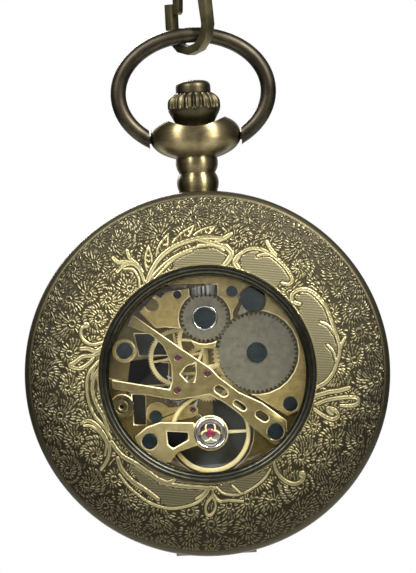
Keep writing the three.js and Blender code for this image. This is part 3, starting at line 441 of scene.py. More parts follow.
def around(profile, sides=96, centre=(0, 0), upright=False, base=0, lift=1):
    """A closed [radius, height] profile turned about z, or about y if upright.
    Its heights are scaled by lift and start at base."""
    profile = np.asarray(profile, float)
    angle = np.linspace(0, TURN, sides, endpoint=False)
    radius, height = profile[:, 0][:, None], base + lift * profile[:, 1][:, None]
    across, away = radius * np.cos(angle), radius * np.sin(angle)
    level = np.broadcast_to(height, across.shape)
    if upright:
        grid = np.stack([across + centre[0], level, away + centre[1]], -1)
    else:
        grid = np.stack([across + centre[0], away + centre[1], level], -1)
    return grid.reshape(-1, 3), quads(len(profile), sides)


def spline(points, samples):
    """Catmull-Rom curve through points of any width."""
    points = np.asarray(points, float)
    last = len(points) - 1
    made = []
    for at in np.linspace(0, last, samples):
        i = min(int(at), last - 1)
        t = at - i
        a, b, c, d = points[[min(max(i + k, 0), last) for k in (-1, 0, 1, 2)]]
        made.append(0.5 * (2 * b + (c - a) * t + (2 * a - 5 * b + 4 * c - d) * t * t
                           + (3 * b - a - 3 * c + d) * t ** 3))
    return np.array(made)


WIRE_END = ((0.0, 1.0), (0.5, 0.87), (0.87, 0.5))  # a dome's radius, and its place past the end


def tube(path, radius, sides, flatten=1.0):
    """A wire along a path, with domed ends. Flatten scales it along z."""
    tangent = np.gradient(path, axis=0)
    tangent /= np.linalg.norm(tangent, axis=1)[:, None]
    side = np.cross(tangent, (0, 0, 1))
    side /= np.linalg.norm(side, axis=1)[:, None]
    lift = np.cross(side, tangent)
    angle = np.linspace(0, TURN, sides, endpoint=False)
    start = [(path[0] - tangent[0] * push * radius, side[0], lift[0], share * radius)
             for share, push in WIRE_END]
    end = [(path[-1] + tangent[-1] * push * radius, side[-1], lift[-1], share * radius)
           for share, push in reversed(WIRE_END)]
    rows = [*start, *((*row, radius) for row in zip(path, side, lift)), *end]
    grid = [spot + r * (np.outer(np.cos(angle), s) + flatten * np.outer(np.sin(angle), up))
            for spot, s, up, r in rows]
    return np.vstack(grid), quads(len(rows), sides, wrap_rows=False)


def slab(outline, low, high):
    """A flat outline between two heights."""
    outline = np.asarray(outline, float)
    n = len(outline)
    points = np.vstack([np.column_stack([outline, np.full(n, h)]) for h in (low, high)])
    walls = [[i, (i + 1) % n, n + (i + 1) % n, n + i] for i in range(n)]
    return points, [list(range(n))[::-1], list(range(n, 2 * n))] + walls


def polar(radius, angle, spot=(0, 0)):
    """[x, y] at a radius and angle from a spot."""
    return np.stack([spot[0] + radius * np.cos(angle), spot[1] + radius * np.sin(angle)], -1)


# -------------------------------------------------------------- engraving
#
# The covers are stamped all over: daisies outside, a wreath of scrolls and
# leaves around the window, and waved panels between them. relief is 0 at the
# bottom of the stamping and 1 at the top; worn says how rubbed it is.

HOLE_R = 13.95
STAMP_DEPTH = 0.12
AROUND = 1440  # columns of a cover's grid
STAMPED_ROWS = 122
PLAIN_FROM_R = 22.75  # the rim outside this radius is plain
RIM_TONE, RIM_RELIEF = 0.4, 0.86
FAR = 9.0  # a distance at which nothing is stamped
WREATH_WORN = 0.85

# Half width and centre line of each scroll.
SCROLLS = (
    (0.21, ((-10.9, 13.6), (-9.9, 14.4), (-8.8, 14.5), (-8.0, 13.7), (-7.5, 12.2))),
    (0.15, ((-8.1, 11.4), (-8.2, 12.7), (-8.9, 13.8), (-10.0, 13.9))),
    (0.23, ((-11.3, 15.4), (-10.7, 14.8), (-9.7, 14.8), (-8.6, 14.4))),
    (0.20, ((-9.5, 16.3), (-9.2, 15.3), (-8.3, 14.4), (-7.6, 13.4))),
    (0.27, ((-7.1, 12.1), (-6.4, 13.6), (-5.1, 15.3), (-3.1, 16.6), (-0.6, 17.3), (1.0, 17.4),
        (2.7, 17.2))),
    (0.24, ((-0.3, 17.2), (1.7, 16.6), (3.0, 16.1), (3.9, 15.4))),
    (0.26, ((2.0, 16.9), (3.0, 17.2), (3.9, 17.7))),
    (0.15, ((-6.9, 12.2), (-5.4, 13.8), (-3.2, 15.3), (-0.3, 16.3), (2.3, 16.4))),
    (0.15, ((-0.3, 16.5), (1.7, 16.3), (2.9, 15.6))),
    (0.13, ((-6.1, 12.5), (-4.3, 14.2), (-2.9, 15.2), (-1.2, 15.8))),
    (0.33, ((3.1, 16.2), (3.8, 15.1), (3.3, 14.2), (2.9, 13.8))),
    (0.33, ((4.7, 14.8), (4.2, 14.0), (4.6, 13.3))),
    (0.20, ((4.5, 14.8), (5.9, 15.6), (7.4, 15.6), (9.0, 14.7), (10.2, 13.6), (11.1, 12.3),
        (11.4, 11.3), (10.9, 10.9), (10.1, 11.1))),
    (0.23, ((8.4, 16.5), (8.8, 15.6), (9.5, 14.7))),
    (0.16, ((7.2, 14.7), (7.8, 14.9), (8.7, 14.8))),
    (0.23, ((12.2, 8.3), (11.3, 8.7), (11.3, 9.5), (12.0, 10.1), (13.2, 10.1), (14.3, 9.4),
        (15.5, 7.8), (16.2, 5.7), (16.9, 3.3), (17.0, 1.9), (16.5, 0.3), (16.1, -0.6))),
    (0.21, ((16.1, -0.6), (15.2, -1.7), (13.9, -2.4))),
    (0.15, ((14.8, 5.9), (15.7, 5.4), (16.4, 4.3))),
    (0.16, ((15.5, 2.9), (16.2, 2.0), (16.5, 0.4))),
    (0.18, ((17.8, 3.7), (17.3, 2.8), (17.0, 2.0))),
    (0.23, ((13.7, -3.5), (15.3, -3.1), (16.6, -3.0), (18.0, -2.7))),
    (0.21, ((13.6, -4.6), (15.2, -4.1), (17.2, -3.9), (18.8, -4.0), (19.1, -4.6), (18.3, -5.0),
        (16.8, -4.9))),
    (0.21, ((13.4, -5.2), (14.4, -6.0), (15.6, -6.6), (16.4, -6.2), (16.0, -5.4), (15.2, -5.1))),
    (0.36, ((15.2, -5.3), (15.6, -5.8))),
    (0.21, ((7.9, -11.8), (8.3, -13.1), (9.3, -14.2), (10.4, -14.6), (11.4, -14.2),
        (11.7, -13.5))),
    (0.43, ((11.5, -13.4), (11.4, -13.5))),
    (0.13, ((7.4, -12.6), (6.5, -13.8), (5.0, -14.9), (3.3, -15.6), (1.4, -15.4), (0.4, -14.5))),
    (0.13, ((2.4, -14.4), (3.0, -15.0), (3.4, -15.4))),
    (0.16, ((-0.1, -15.3), (0.7, -16.3), (2.1, -16.3), (3.7, -16.5))),
    (0.16, ((-0.1, -14.5), (-0.2, -15.5), (-1.0, -16.6), (-1.1, -17.6), (-0.7, -18.1),
        (-0.1, -17.6), (0.2, -16.6), (-0.2, -15.6))),
    (0.16, ((-0.7, -14.6), (-1.4, -15.4), (-2.3, -15.9))),
    (0.15, ((-11.9, -12.3), (-10.6, -14.1), (-8.5, -15.9), (-6.4, -16.8), (-4.5, -16.9),
        (-2.3, -16.4), (-0.9, -15.3), (-0.4, -14.4))),
    (0.26, ((-12.0, -10.2), (-11.6, -11.6), (-10.3, -13.2), (-8.4, -14.6), (-7.1, -15.7))),
    (0.26, ((-12.7, -8.1), (-11.5, -9.8), (-9.9, -10.9), (-8.3, -12.1), (-6.7, -13.3),
        (-4.8, -14.0), (-1.9, -14.4), (0.1, -14.6))),
    (0.20, ((-6.8, -13.6), (-5.8, -13.6), (-4.9, -13.3))),
    (0.21, ((-16.4, -5.5), (-15.5, -5.2), (-14.4, -5.9), (-13.5, -7.3), (-13.0, -8.8),
        (-13.3, -10.2), (-14.2, -11.5))),
    (0.15, ((-16.1, -5.8), (-15.2, -5.9), (-14.1, -6.8), (-13.4, -8.2), (-13.6, -9.7))),
    (0.18, ((-14.0, 2.1), (-15.1, 0.9), (-15.5, -0.8), (-15.3, -2.9), (-14.7, -4.6),
        (-13.7, -5.9), (-12.7, -7.6))),
    (0.23, ((-13.7, 1.4), (-14.5, 0.3), (-14.8, -1.3), (-14.4, -3.1), (-13.6, -4.7),
        (-13.0, -6.5))),
    (0.20, ((-14.1, 0.5), (-13.9, -0.5), (-14.0, -1.3))),
    (0.23, ((-16.0, 4.0), (-15.1, 4.0), (-14.1, 3.6), (-13.2, 4.1))),
    (0.21, ((-13.1, 3.7), (-14.4, 3.1), (-15.8, 3.0), (-16.9, 2.3), (-17.5, 1.9), (-16.3, 1.5),
        (-15.2, 2.0), (-14.5, 2.7))),
    (0.16, ((-13.3, 2.7), (-14.3, 1.8), (-14.9, 0.1))),
    (0.18, ((-15.1, 7.0), (-15.7, 6.7), (-15.9, 5.9), (-15.6, 5.1), (-14.6, 4.5), (-13.1, 4.7))),
    (0.36, ((-15.2, 7.0), (-15.1, 7.0))),
)
# Foot, tip and half width of each hatched leaf.
LEAVES = (
    ((-6.8, 13.0), (-6.75, 16.9), 0.6),
    ((-5.7, 14.5), (-4.1, 18.2), 0.72),
    ((-4.2, 15.6), (-0.6, 19.2), 0.76),
    ((-1.4, 16.9), (2.1, 18.9), 0.72),
)
LEAF_HATCH = 0.72
# Outlines of the waved panels.
PANELS = (
    ((-3.7, 13.6), (-3.2, 15.1), (-1.3, 15.9), (2.4, 15.9), (2.0, 15.8), (2.9, 15.2),
        (3.0, 14.2), (2.5, 13.7)),
    ((5.1, 13.3), (4.9, 14.7), (6.4, 15.3), (7.5, 15.3), (9.0, 14.4), (10.2, 13.2),
        (11.1, 11.9), (10.9, 11.0), (9.8, 11.0), (8.9, 10.3)),
    ((12.1, 8.2), (11.6, 9.2), (13.1, 9.8), (14.3, 9.1), (15.5, 7.5), (16.2, 5.4), (16.8, 3.3),
        (16.8, 1.9), (16.3, 0.3), (15.9, -0.5), (15.0, -1.6), (13.9, -2.2)),
    ((0.4, -14.4), (1.4, -15.3), (3.3, -15.5), (5.0, -14.8), (6.5, -13.7), (7.4, -12.6)),
    ((-10.7, -10.3), (-10.1, -12.2), (-9.1, -13.6), (-7.2, -15.6), (-6.1, -16.5), (-3.6, -16.7),
        (-1.6, -15.9), (-0.7, -14.6)),
)


def soft(value, low, high):
    """0 below low, 1 above high, smooth between."""
    t = np.clip((value - low) / (high - low), 0, 1)
    return t * t * (3 - 2 * t)


def scatter(inner, outer, tries):
    """Flower centres in a ring, each with its own least distance to the others."""
    kept = []
    for _ in range(tries):
        radius = math.sqrt(rng.uniform(inner ** 2, outer ** 2))
        spot = polar(radius, rng.uniform(0, TURN))
        gap = rng.uniform(2.35, 3.3) * (1.04 - 0.2 * (radius - inner) / (outer - inner))
        if all(np.hypot(*(spot - other)) > gap for other in kept):
            kept.append(spot)
    return np.array(kept)


STROKE_DOTS = 7
PETAL_HALF = 0.105  # half width of a petal stroke
RING_DOTS, RING_HALF, RING_SWEEP = 30, 0.095, 5.4  # a daisy's open ring
FAN_ROWS, FIRST_ROW, ROW_STEP = 7, 0.66, 0.72  # its rows of petals, in daisy sizes
PETAL_PITCH = 0.39


def strokes(start, heading, length, bend):
    """Dots [x, y, radius] along short curved strokes, one row each."""
    t = np.linspace(0, 1, STROKE_DOTS)
    turn = heading[:, None] + bend[:, None] * (t - 0.3)
    step = length[:, None] / (STROKE_DOTS - 1)
    x = start[:, :1] + np.cumsum(step * np.cos(turn), 1) - step * np.cos(turn[:, :1])
    y = start[:, 1:] + np.cumsum(step * np.sin(turn), 1) - step * np.sin(turn[:, :1])
    half = PETAL_HALF * (0.66 + 0.34 * np.sin(math.pi * (0.15 + 0.8 * t)))
    return np.stack([x, y, np.broadcast_to(half, x.shape)], -1)


def daisy_dots(outer):
    """Dots of daisies: an open ring, then fans of petals up to the next daisy."""
    centres = scatter(HOLE_R + 0.4, outer, 1500)
    count = len(centres)
    size = rng.uniform(0.85, 1.15, count)
    fan = rng.uniform(0, TURN, count)
    twist = rng.choice([-1, 1], count) * rng.uniform(0.15, 0.65, count)

    def owner(points):
        """The daisy each point belongs to, and how clearly."""
        away = points[:, None, :] - centres
        angle = np.arctan2(away[..., 1], away[..., 0])
        reach = size * (1 + 0.4 * np.cos(angle - fan))
        ratio = np.hypot(away[..., 0], away[..., 1]) / reach
        near = np.sort(ratio, 1)
        return np.argmin(ratio, 1), (near[:, 1] - near[:, 0]) * size.mean()

    made = []
    t = np.linspace(0, 1, RING_DOTS)
    for i in range(count):
        ring = polar(size[i] * (0.3 + 0.13 * t), fan[i] + RING_SWEEP * t, centres[i])
        made.append(np.column_stack([ring, np.full(RING_DOTS, RING_HALF)]))
        for row in range(FAN_ROWS):
            inner = size[i] * (FIRST_ROW + ROW_STEP * row)
            number = int(TURN * (inner + 0.3) / PETAL_PITCH)
            turn = (np.arange(number) + rng.uniform(-0.16, 0.16, number)) * TURN / number
            turn += rng.uniform(0, 6)
            start = polar(inner + rng.uniform(-0.07, 0.07, number), turn, centres[i])
            heading = turn + twist[i] * (0.5 + 0.35 * row) + rng.uniform(-0.12, 0.12, number)
            length = size[i] * (0.48 + 0.1 * np.cos(turn - fan[i]) + rng.uniform(-0.12, 0.06, number))
            dots = strokes(start, heading, length, twist[i] * rng.uniform(0.6, 1.6, number))
            own, clear = owner(dots.reshape(-1, 3)[:, :2])
            fits = ((own == i) & (clear > 0.1)).reshape(dots.shape[:2])
            fits = np.cumprod(fits, 1).astype(bool)
            fits &= fits.sum(1)[:, None] > 3
            if not fits.any():
                break
            made.append(dots[fits])
    return np.vstack(made)


def stamped(dots, radii, columns, reach=0.3):
    """Distance from each point of a polar grid to the edge of the nearest dot."""
    step, turn = radii[1] - radii[0], TURN / columns
    x, y, r = (dots[:, k, None, None] for k in range(3))
    row = np.rint((np.hypot(x, y) - radii[0]) / step).astype(int)
    column = np.rint(np.arctan2(y, x) / turn).astype(int)
    rows = row + np.arange(-int(reach / step), int(reach / step) + 1)[None, :, None]
    spread = int(reach / (radii[0] * turn))
    places = column + np.arange(-spread, spread + 1)[None, None, :]
    safe = np.clip(rows, 0, len(radii) - 1)
    away = np.hypot(radii[safe] * np.cos(places * turn) - x, radii[safe] * np.sin(places * turn) - y)
    edge = np.full(len(radii) * columns, FAR)
    index = (safe * columns + places % columns).ravel()
    np.minimum.at(edge, index, np.where(rows == safe, away - r, FAR).ravel())
    return edge.reshape(len(radii), columns)


def inside(x, y, outline):
    """True where a point is inside the closed outline."""
    found = np.zeros(x.shape, bool)
    for (x0, y0), (x1, y1) in zip(outline, outline[1:] + outline[:1]):
        crosses = (y0 > y) != (y1 > y)
        found ^= crosses & (x < (x1 - x0) * (y - y0) / (y1 - y0 + 1e-12) + x0)
    return found


def scroll_field(x, y):
    """Distance to the nearest scroll's edge, to its middle line, and its half width."""
    edge = np.full(x.shape, FAR)
    across = np.full(x.shape, FAR)
    width = np.full(x.shape, 0.2)
    step = TURN / x.shape[1]
    radii = np.hypot(x[:, 0], y[:, 0])
    for half, line in SCROLLS:
        length = sum(math.dist(a, b) for a, b in zip(line, line[1:]))
        count = max(int(length / 0.07), 3)
        taper = np.sin(np.linspace(0.16, 0.9, count) * math.pi) ** 0.45
        for (cx, cy), share in zip(spline(line, count), taper):
            r = half * (0.55 + 0.5 * share)
            reach = r + 0.35
            distance = math.hypot(cx, cy)
            rows = np.nonzero(np.abs(radii - distance) < reach)[0]
            spread = int(reach / (distance * step)) + 1
            middle = int(round((math.atan2(cy, cx) % TURN) / step))
            patch = np.ix_(rows, np.arange(middle - spread, middle + spread + 1) % x.shape[1])
            away = np.hypot(x[patch] - cx, y[patch] - cy)
            closer = away - r < edge[patch]
            edge[patch] = np.where(closer, away - r, edge[patch])
            across[patch] = np.minimum(away, across[patch])
            width[patch] = np.where(closer, r, width[patch])
    return edge, across, width


def add_filler(edge, radii, outer, passes=36, tries=300):
    """Fills the gaps between the fans with small strokes that flow together."""
    columns = edge.shape[1]
    step = radii[1] - radii[0]
    for _ in range(passes):
        radius = np.sqrt(rng.uniform((HOLE_R + 0.2) ** 2, outer ** 2, tries))
        start = polar(radius, rng.uniform(0, TURN, tries))
        heading = 2.6 * np.sin(0.8 * start[:, 0] + 0.5) + 2.6 * np.sin(0.7 * start[:, 1] - 0.4)
        dots = strokes(start, heading, rng.uniform(0.2, 0.5, tries), rng.uniform(-1, 1, tries))
        rows = np.rint((np.hypot(dots[..., 0], dots[..., 1]) - radii[0]) / step).astype(int)
        turns = np.rint(np.arctan2(dots[..., 1], dots[..., 0]) * columns / TURN).astype(int)
        room = edge[np.clip(rows, 0, len(radii) - 1), turns % columns].min(1)
        middle = dots[:, STROKE_DOTS // 2, :2]
        apart = np.hypot(*(middle[:, None] - middle).transpose(2, 0, 1))
        clash = np.tril(apart < 0.6, -1).any(1)
        fits = (room > 0.19) & ~clash & (rows.max(1) < (outer - radii[0]) / step)
        edge = np.minimum(edge, stamped(dots[fits].reshape(-1, 3), radii, columns))
    return edge


def engrave(x, y, flat, outer):
    """Relief, wear and panel mask over a cover's grid. flat is its radius unrolled."""
    petals = add_filler(stamped(daisy_dots(outer), flat, x.shape[1]), flat, outer)
    radius = np.hypot(x, y)
    layers = [0.86 * (1 - soft(petals, -0.06, 0.05)), 0.62 * (1 - soft(radius, 14.5, 21.5)), 0 * x]

    def lay(area, *values):
        """Relief, wear and panel mask of an area, over what is there."""
        layers[:] = [np.where(area, value, layer) for value, layer in zip(values, layers)]

    for outline in PANELS:
        lay(inside(x, y, outline), 0.5, 0.4, 1.0)
    for foot, tip, half in LEAVES:
        foot, axis = np.array(foot), np.array(tip) - np.array(foot)
        length = np.hypot(*axis)
        along = ((x - foot[0]) * axis[0] + (y - foot[1]) * axis[1]) / length ** 2
        off = np.abs(((y - foot[1]) * axis[0] - (x - foot[0]) * axis[1]) / length)
        depth = half * np.sin(math.pi * np.clip(along, 0, 1) ** 0.8) ** 0.8 - off
        hatch = soft(np.sin(TURN * (along * length - 1.1 * off) / LEAF_HATCH), 0.35, 0.8)
        leaf = np.maximum(1 - soft(np.abs(depth - 0.15), 0.1, 0.18), 0.75 * hatch)
        area = (depth > -0.14) & (along > -0.03) & (along < 1.03)
        lay(area, leaf * soft(depth, 0.0, 0.05), WREATH_WORN, 0.0)
    edge, across, width = scroll_field(x, y)
    crest = 1 - 0.35 * np.exp(-(across / 0.07) ** 2) * (width > 0.19)
    lay(edge < 0.17, crest * (1 - soft(edge, -0.05, 0.06)), WREATH_WORN, 0.0)
    relief, worn, panel = layers
    lip = 1 - soft(radius, HOLE_R + 0.1, HOLE_R + 0.2)
    return np.maximum(relief, 0.6 * lip), worn, panel * (1 - lip)


def cover_mesh(name, outer, inner, side, notch=None):
    """An engraved shell, stamped outside from the hole to the rim."""
    curve = spline(outer[::-1], 400)
    length = np.concatenate([[0], np.cumsum(np.hypot(*np.diff(curve, axis=0).T))])
    along = np.linspace(0, length[-1], STAMPED_ROWS)
    r, z = (np.interp(along, length, curve[:, k]) for k in (0, 1))
    slope = np.column_stack([np.gradient(r), np.gradient(z)])
    slope /= np.linalg.norm(slope, axis=1)[:, None]
    normal = np.column_stack([-slope[:, 1], slope[:, 0]]) * side
    angle = np.linspace(0, TURN, AROUND, endpoint=False)
    cos, sin = side * np.cos(angle), np.sin(angle)
    flat = HOLE_R + along[:, None]
    plain_from = np.interp(PLAIN_FROM_R, r[: np.argmax(r)], flat[: np.argmax(r), 0])
    x, y = r[:, None] * np.cos(angle), r[:, None] * sin
    relief, worn, panel = engrave(x, y, flat[:, 0], plain_from)
    rim = soft(flat, plain_from - 0.1, plain_from + 0.05) + 0 * x
    tone = relief * (1 - rim) + RIM_TONE * rim
    relief = relief * (1 - rim) + RIM_RELIEF * rim
    relief *= 1 - 0.8 * np.exp(-((flat - plain_from + 0.02) / 0.1) ** 2)
    drop = STAMP_DEPTH * (1 - relief)
    back = np.array(inner, float)
    rr = np.vstack([r[:, None] - drop * normal[:, :1], np.repeat(back[:, :1], AROUND, 1)])
    zz = np.vstack([z[:, None] - drop * normal[:, 1:], np.repeat(back[:, 1:], AROUND, 1)])
    px, py = rr * cos, rr * sin
    if notch:
        half, low, level = notch
        zz = np.where((np.abs(px) < half) & (py < low), np.minimum(zz, level), zz)
    points = np.stack([px, py, zz], -1).reshape(-1, 3)
    faces = quads(len(rr), AROUND)
    a, b, c = (points[faces[:, k]] for k in (0, 1, 2))
    if np.einsum("ij,ij->i", a, np.cross(b, c)).sum() < 0:
        faces = faces[:, ::-1]
    mesh = bpy.data.meshes.new(name)
    mesh.from_pydata(to_row(points).tolist(), [], faces.tolist())
    for label, values, behind in (
        ("tone", tone, RIM_TONE), ("worn", worn * (1 - rim), 0), ("panel", panel, 0),
    ):
        unseen = np.full((len(back), AROUND), behind)
        layer = mesh.attributes.new(label, "FLOAT", "POINT")
        layer.data.foreach_set("value", np.vstack([values, unseen]).astype(np.float32).ravel())
    return mesh


# ------------------------------------------------------------------- case

BACK_OUTER = [
    (22.6, 2.25), (23.3, 2.25), (23.5, 2.75), (23.2, 3.65), (21.9, 4.65), (19, 5.6), (HOLE_R, 6.15),
]
BACK_INNER = [(22.4, 2.4), (22.4, 3.2), (21.5, 3.95), (19, 4.85), (14.1, 5.4), (HOLE_R, 5.5)]
LID_OUTER = [
    (22.65, -2.5), (23.3, -2.5), (23.5, -3.0), (23.25, -3.95), (22, -5.2), (19, -6.5), (HOLE_R, -7.4),
]
LID_INNER = [(22.6, -2.6), (22.6, -3.6), (21.4, -4.9), (18.8, -5.8), (14.1, -6.6), (HOLE_R, -6.75)]
LID_NOTCH = (5.35, -21.8, -3.15)  # room for the hinge: half width, highest y and highest z
KNUCKLE_Y, KNUCKLE_Z, KNUCKLE_R = -23.0, -2.45, 0.6
WEB_HALF = 2.0

for node, body, outer, inner, side, notch in (
    ("back_cover", "case", BACK_OUTER, BACK_INNER, 1, None),
    ("lid_cover", "lid", LID_OUTER, LID_INNER, -1, LID_NOTCH),
):
    mesh = cover_mesh(node + "_engraved", outer, inner, side, notch)
    settle(node + "_engraved", mesh, ENGRAVED, body, [node])


def rod_x(radius, x0, x1, y, z, sides=32):
    points, faces = around([(0, x0), (radius, x0), (radius, x1), (0, x1)], sides, upright=True)
    return np.column_stack([points[:, 1], points[:, 0] + y, points[:, 2] + z]), faces


web_low, web_high = KNUCKLE_Y - 0.35, KNUCKLE_Y + 0.3
web = slab([(-WEB_HALF, web_low), (WEB_HALF, web_low), (WEB_HALF, web_high), (-WEB_HALF, web_high)],
           KNUCKLE_Z - 1.15, KNUCKLE_Z - 0.3)
knuckle = rod_x(KNUCKLE_R, -WEB_HALF, WEB_HALF, KNUCKLE_Y, KNUCKLE_Z)
piece("lid_knuckle", [knuckle, web], BRONZE, "lid")

# Radius and depth below the case's outside: a blackened ring, stepped down to its glass.
RING_STEPS = [
    (12.58, 0.95), (12.58, 0.62), (12.63, 0.5), (12.72, 0.42), (12.8, 0.46), (12.88, 0.3),
    (13.02, 0.16), (13.14, 0.13), (13.22, 0.22), (13.32, 0.2), (13.42, 0.06), (13.56, 0.0),
    (13.8, 0.01), (13.88, 0.1), (13.88, 1.75), (13.2, 1.75), (13.2, 0.95),
]
GLASS_STEPS = [(0, 1.7), (13.15, 1.7), (13.15, 1.25), (12.9, 1.12), (9, 1.03), (0, 1.0)]
FRONT_GLASS = [(0, -4.3), (20.4, -4.3), (20.4, -4.8), (20.2, -4.9), (14, -5.2), (0, -5.35)]

WINDOWS = (
    ("back", "case", levels("back_window_ring")[1], -1),
    ("lid", "lid", levels("lid_window_ring")[0], 1),
)
for end, body, outside, down in WINDOWS:
    ring = around(RING_STEPS, 256, base=outside, lift=down)
    piece(end + "_ring_stepped", [ring], RING, body, [end + "_window_ring"])
for end, body, outside, down in WINDOWS:
    pane = around(GLASS_STEPS, 160, base=outside, lift=down)
    piece(end + "_glass_domed", [pane], GLASS, body, [end + "_glass"])
piece("front_glass_domed", [around(FRONT_GLASS, 160)], GLASS, "case", ["front_glass"])

for node, finish, bevel in (
    ("case_band", BRONZE, 0.05), ("front_bezel", BRONZE, 0.05), ("movement_holder", PLATE, 0.05),
    ("dial", DIAL, 0.03), ("hinge_pin", BRONZE, 0.04), ("lid_latch", STEEL, 0.06),
    ("stem_sleeve", STEEL, 0.03), ("winding_stem", STEEL, 0.03),
):
    dress(node, finish, bevel)

# ------------------------------------------------- pendant, crown, button

TRUNNION_Y = 30.4
HEAD_WIDE, HEAD_DEEP, HEAD_UP, HEAD_DOWN = 5.85, 4.3, 3.1, 2.95
WELL_R, WELL_Y = 3.65, 31.5
BORE_R, BORE_Y = 1.3, 28.2
SADDLE_LOW, SADDLE_RISE = 31.78, 0.078  # lowest height of the head's top, and its rise with x squared
NECK = [
    (0, 22.95), (2.3, 22.95), (2.46, 23.2), (2.5, 23.6), (2.62, 23.95), (2.7, 24.35),
    (2.71, 24.7), (2.65, 25.1), (2.53, 25.45), (2.4, 25.68), (2.34, 25.8), (2.34, 25.92),
    (2.44, 26.08), (2.6, 26.4), (2.7, 26.8), (2.73, 27.2), (2.7, 27.6), (2.6, 27.95),
    (2.4, 28.2), (2.3, 28.6), (0, 28.6),
]


def pendant_head(sides=128):
    """A full-shouldered flattened ball, saddled for the crown between two ears."""
    angle = np.linspace(0, TURN, sides, endpoint=False)
    reach = 1 / np.sqrt((np.cos(angle) / HEAD_WIDE) ** 2 + (np.sin(angle) / HEAD_DEEP) ** 2)
    rows = []
    for t in np.linspace(0.28, math.pi / 2, 18):
        rows.append((reach * np.sin(t), TRUNNION_Y - HEAD_DOWN * np.cos(t)))
    for share in np.linspace(0.04, 1, 22):
        radius = reach + (WELL_R - reach) * share
        rise = (1 - np.minimum(radius / reach, 1) ** 2.5) ** 0.4
        rows.append((radius, TRUNNION_Y + HEAD_UP * rise))
    for radius, share in ((WELL_R - 0.04, 0.06), (WELL_R - 0.05, 0.5), (WELL_R - 0.05, 1.0)):
        rows.append((radius, rows[-1][1] + (WELL_Y - rows[-1][1]) * share))
    rows += [(BORE_R, WELL_Y), (BORE_R, BORE_Y)]
    grid = []
    for radius, y in rows:
        x = radius * np.cos(angle)
        y = np.minimum(y, SADDLE_LOW + SADDLE_RISE * x * x)
        grid.append(np.column_stack([x, y, radius * np.sin(angle)]))
    return np.vstack(grid), quads(len(rows), sides)


neck = around(NECK, 96, upright=True)
piece("pendant_turned", [neck, pendant_head()], SATIN, "case", ["pendant"])


def fluted(profile, flutes, sides):
    """A turned form whose rows are [radius, height, depth of the flutes]."""
    angle = np.linspace(0, TURN, sides, endpoint=False)
    wave = 1 - (0.5 + 0.5 * np.cos(flutes * angle)) ** 1.7
    rows = []
    for radius, height, depth in profile:
        r = radius - depth * wave
        rows.append(np.column_stack([r * np.cos(angle), np.full(sides, height), r * np.sin(angle)]))
    return np.vstack(rows), quads(len(rows), sides)


CROWN = [
    (1, 31.7, 0), (2.3, 31.7, 0), (2.42, 31.85, 0), (2.5, 32.3, 0), (2.74, 32.8, 0),
    (3.06, 33.35, 0), (3.3, 33.85, 0), (3.37, 34.12, 0), (3.39, 34.2, 0.1), (3.4, 34.3, 0.34),
    (3.4, 34.75, 0.4), (3.36, 35.15, 0.4), (3.2, 35.5, 0.38), (2.95, 35.78, 0.34),
    (2.66, 36.02, 0.24), (2.46, 36.15, 0.06), (2.36, 36.18, 0), (2.36, 35.3, 0), (1, 35.3, 0),
]
BUTTON = [
    (0, 25), (0.5, 25), (0.5, 36.15), (2.0, 36.15), (2.25, 36.25), (2.25, 37.0), (2.18, 37.3),
    (2.0, 37.55), (1.6, 37.75), (1.0, 37.84), (0, 37.85),
]
crown, button = fluted(CROWN, 20, 240), around(BUTTON, 72, upright=True)
piece("crown_fluted", [crown], CROWN_BRONZE, "crown", ["crown"])
piece("button_domed", [button], CROWN_BRONZE, "button", ["release_button"])

# ------------------------------------------------------ bow and snap hook

BOW_Y, BOW_A, BOW_B, WIRE_R = 36.3, 9.7, 7.4, 1.0
BOW_FACE_X, BOW_FACE_TOP = 5.95, 33  # flat inner faces beside the pendant's head
PIN_R, PIN_IN, PIN_OUT = 0.5, 4.9, 6.35


def bow_wire():
    angle = np.radians(np.linspace(-58, 238, 180))
    path = np.column_stack([BOW_A * np.cos(angle), BOW_Y + BOW_B * np.sin(angle), 0 * angle])
    points, faces = tube(path, WIRE_R, 32)
    low = points[:, 1] < BOW_FACE_TOP
    side = np.sign(points[:, 0])
    points[low, 0] = side[low] * np.maximum(np.abs(points[low, 0]), BOW_FACE_X)
    return points, faces


bow_pins = [rod_x(PIN_R, *ends, TRUNNION_Y, 0) for ends in ((-PIN_OUT, -PIN_IN), (PIN_IN, PIN_OUT))]
piece("bow_wire", [bow_wire(), *bow_pins], GUNMETAL, "bow", ["bow"])
dress("clasp_hook", HOOK, 0.3, 4)
dress("clasp_gate", HOOK, 0.14, 3)

# --------------------------------------------------------------- movement

# The plates' and bridges' bevelled edges take a painted highlight, their recesses a painted shade.
dress("main_plate", PLATE, 0.12, 1, PLATE_EDGE_HIGHLIGHT)
dress("barrel_bridge", BARREL_BRASS, 0.12, 1, BARREL_EDGE_HIGHLIGHT)
dress("train_bridge", BRIDGE, 0.13, 1, BRIDGE_EDGE_HIGHLIGHT)
dress("balance_cock", COCK, 0.14, 1, COCK_EDGE_HIGHLIGHT)
dress("pallet_bridge", LOW_BRASS, 0.12, 1, LOW_EDGE_HIGHLIGHT)
for finish, bevel, nodes in (
    (STEEL, 0.03, ("click", "click_spring")),
    (BRIGHT, 0.02, ("escape_wheel", "pallet_fork", "mainspring", "cannon_pinion")),
    (GILT, 0.02, ("barrel", "hour_wheel", "minute_wheel")),
    (GILT, 0.03, ("hour_hand", "minute_hand")),
):
    for node in nodes:
        dress(node, finish, bevel)

# ------------------------------------------------------------------ wheels

# One tooth of a wheel: shares of a tooth's room at which it rises and falls.
TOOTH = np.array([-0.28, -0.17, -0.07, 0.07, 0.17, 0.28])


